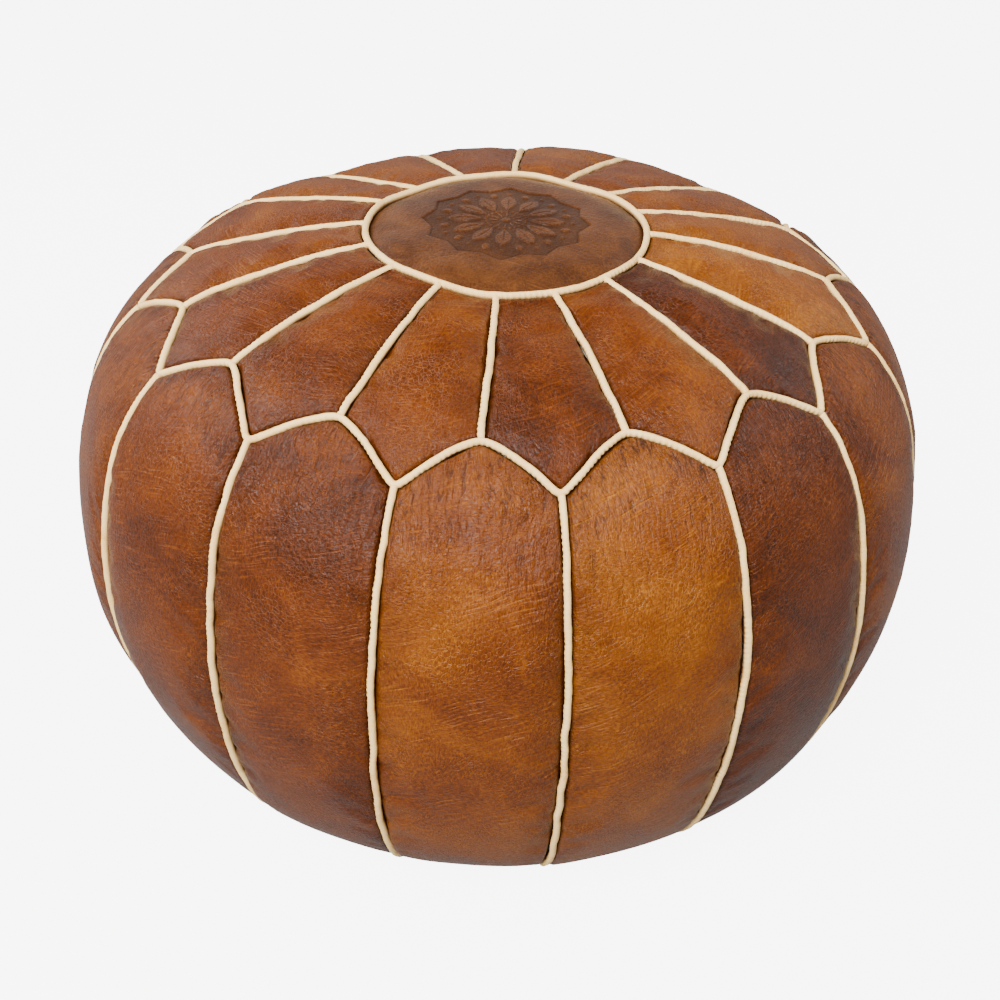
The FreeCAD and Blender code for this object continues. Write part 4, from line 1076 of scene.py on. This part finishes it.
def strip(name, node, lines, closed, sides):
    """One piece of piping along its seam lines, each given as points and outward directions."""
    vertices, edges, outs = [], [], []
    for points, out in lines:
        first = len(vertices)
        vertices += points.tolist()
        outs.append(out)
        edges += [(k, k + 1) for k in range(first, len(vertices) - 1)]
        if closed:
            edges.append((len(vertices) - 1, first))
    seam = bpy.data.meshes.new(name)
    seam.from_pydata(vertices, edges, [])
    stored_out = seam.attributes.new("seam_out", "FLOAT_VECTOR", "POINT")
    stored_out.data.foreach_set("vector", np.concatenate(outs).astype(np.float32).ravel())
    made = add_object(name, seam)
    settings = {
        "Half Width": STRIP_HALF_WIDTH,
        "Crest": STRIP_CREST,
        "Root": STRIP_ROOT,
        "Round Points": sides,
        "Stitch Pitch": STITCH_PITCH,
        "Stitch Depth": STITCH_DEPTH,
        "Wobble": STRIP_WOBBLE,
        "Finish": undyed,
    }
    grown(made, PIPING, settings)
    places = np.empty(len(made.data.vertices) * 3, np.float32)
    made.data.vertices.foreach_get("co", places)
    places[2::3] = np.maximum(places[2::3], STRIP_BOTTOM)
    made.data.vertices.foreach_set("co", places)
    fasten(made, "piping_leather", node)


def seam_line(along, angle):
    """Points and outward directions of a seam with a little waver, where its piping lies."""
    along, angle = np.broadcast_arrays(along, angle)
    points = form(along, angle, 0.0)
    waver = SLOW_WAVER * rough(points, 0.050, 71) + QUICK_WAVER * rough(points, 0.014, 72)
    points = form(along, angle + waver / np.maximum(outline_radius(along), 0.05), 0.0)
    points[:, 2] = np.maximum(points[:, 2], 0.0012)
    return points, outward_at(along, angle)


def evenly(start, end, spacing):
    return np.linspace(start, end, int(abs(end - start) / spacing) + 1)


ring_angle = np.linspace(0, 2 * math.pi, 900, endpoint=False)
ring_points = form(along_at(RING_RADIUS), ring_angle, 0.0003)
ring_line = (ring_points, outward_at(along_at(RING_RADIUS) + 0 * ring_angle, ring_angle))
strip("medallion_piping_strip", "medallion_piping", [ring_line], True, 12)

petal_lines = []
for gore in range(GORES):
    turn = gore * PITCH
    run = evenly(along_at(RING_RADIUS) + END_GAP, along_at(zigzag_radius(turn)) - END_GAP, 0.0006)
    petal_lines.append(seam_line(run, turn))
strip("petal_piping_strips", "petal_piping", petal_lines, False, 12)

zigzag_angle = np.linspace(0, 2 * math.pi, GORES * 160, endpoint=False)
zigzag_line = seam_line(along_at(zigzag_radius(zigzag_angle)), zigzag_angle)
strip("zigzag_piping_strip", "zigzag_piping", [zigzag_line], True, 12)

side_lines = []
for gore in range(GORES):
    turn = (gore + 0.5) * PITCH
    run = evenly(along_at(zigzag_radius(turn)) + END_GAP, BASE_SEAM - END_GAP, 0.0010)
    side_lines.append(seam_line(run, turn))
strip("side_piping_strips", "side_piping", side_lines, False, 10)

base_angle = np.linspace(0, 2 * math.pi, 620, endpoint=False)
around = np.stack([np.cos(base_angle), np.sin(base_angle), 0 * base_angle], -1)
base_points = around * BASE_RADIUS + [0, 0, BASE_RECESS + LEATHER / 2]
base_out = around * -0.4 + [0, 0, -0.92]
strip("base_piping_strip", "base_piping", [(base_points, base_out)], True, 12)


# STAGE, LIGHT AND CAMERA
# A pale plain floor without edges, a large soft light from above in front, a weaker one on each side, and a
# white surrounding. The camera looks down on the pouf from close by, as someone standing over it would.
FLOOR_HALF, FLOOR_DROP, FLOOR_GLOW = 30, -0.0004, 7.0
ways = (-1, -1), (1, -1), (1, 1), (-1, 1)
corners = [(x * FLOOR_HALF, y * FLOOR_HALF, FLOOR_DROP) for x, y in ways]
floor_mesh = bpy.data.meshes.new("floor")
floor_mesh.from_pydata(corners, [], [(0, 1, 2, 3)])
floor_paint, tree, shader = new_material("pale floor", Roughness=0.9, Specular_IOR_Level=0.1)
mottle = speckle(tree, own_place(tree), 3.0)
tint = ramp(tree, mottle, (0.0, (0.30, 0.30, 0.297)), (1.0, (0.33, 0.33, 0.327)))
wire(tree, shader.inputs["Base Color"], tint)
seen = add_node(tree, "ShaderNodeLightPath").outputs["Is Camera Ray"]
wire(tree, shader.inputs["Emission Color"], (1, 1, 1))
wire(tree, shader.inputs["Emission Strength"], times(tree, seen, FLOOR_GLOW))
add_object("floor", floor_mesh, floor_paint)

world = bpy.data.worlds.new("white room")
world.use_nodes = True
room = world.node_tree
way = add_node(room, "ShaderNodeTexCoord").outputs["Generated"]
facing = add_node(room, "ShaderNodeSeparateXYZ", {0: way})
walls = spread(room, facing.outputs["Z"], 0.30, 0.75, 1.0, 0.12)
behind = spread(room, facing.outputs["Y"], -0.45, 0.45, 0.22, 1.0)
room.nodes["Background"].inputs["Color"].default_value = (1, 1, 1, 1)
wire(room, room.nodes["Background"].inputs["Strength"], times(room, walls, behind))
bpy.context.scene.world = world

LIGHT_AIM_HEIGHT = 0.2


def soft_light(name, size, power, place):
    """A round lamp that faces the pouf."""
    lamp = bpy.data.lights.new(name, "AREA")
    lamp.shape, lamp.size, lamp.energy = "DISK", size, power
    held = bpy.data.objects.new(name, lamp)
    held.location = place
    aim = Vector((0, 0, LIGHT_AIM_HEIGHT)) - held.location
    held.rotation_euler = aim.to_track_quat("-Z", "Y").to_euler()
    bpy.context.scene.collection.objects.link(held)


soft_light("key_light", 0.8, 132, (-0.53, -1.48, 1.72))
soft_light("left_light", 0.7, 22, (-1.5, 0.5, 1.1))
soft_light("right_light", 0.7, 22, (1.5, 0.3, 1.3))

CAMERA_RISE, CAMERA_TURN, CAMERA_ROLL = math.radians(33.0), math.radians(2.9), math.radians(1.5)
CAMERA_DISTANCE = 0.996
AIM = Vector((0, 0, HEIGHT / 2))
lens = bpy.data.cameras.new("camera")
lens.lens, lens.sensor_width = 54.04, 36
lens.shift_y = -0.039
lens.clip_start, lens.clip_end = 0.02, 60
camera = bpy.data.objects.new("camera", lens)
level = math.cos(CAMERA_RISE)
back = Vector((level * math.sin(CAMERA_TURN), -level * math.cos(CAMERA_TURN), math.sin(CAMERA_RISE)))
camera.location = AIM + back * CAMERA_DISTANCE
facing_pouf = back.to_track_quat("Z", "Y").to_matrix()
camera.rotation_euler = (facing_pouf @ Matrix.Rotation(CAMERA_ROLL, 3, "Z")).to_euler()
bpy.context.scene.collection.objects.link(camera)
bpy.context.scene.camera = camera
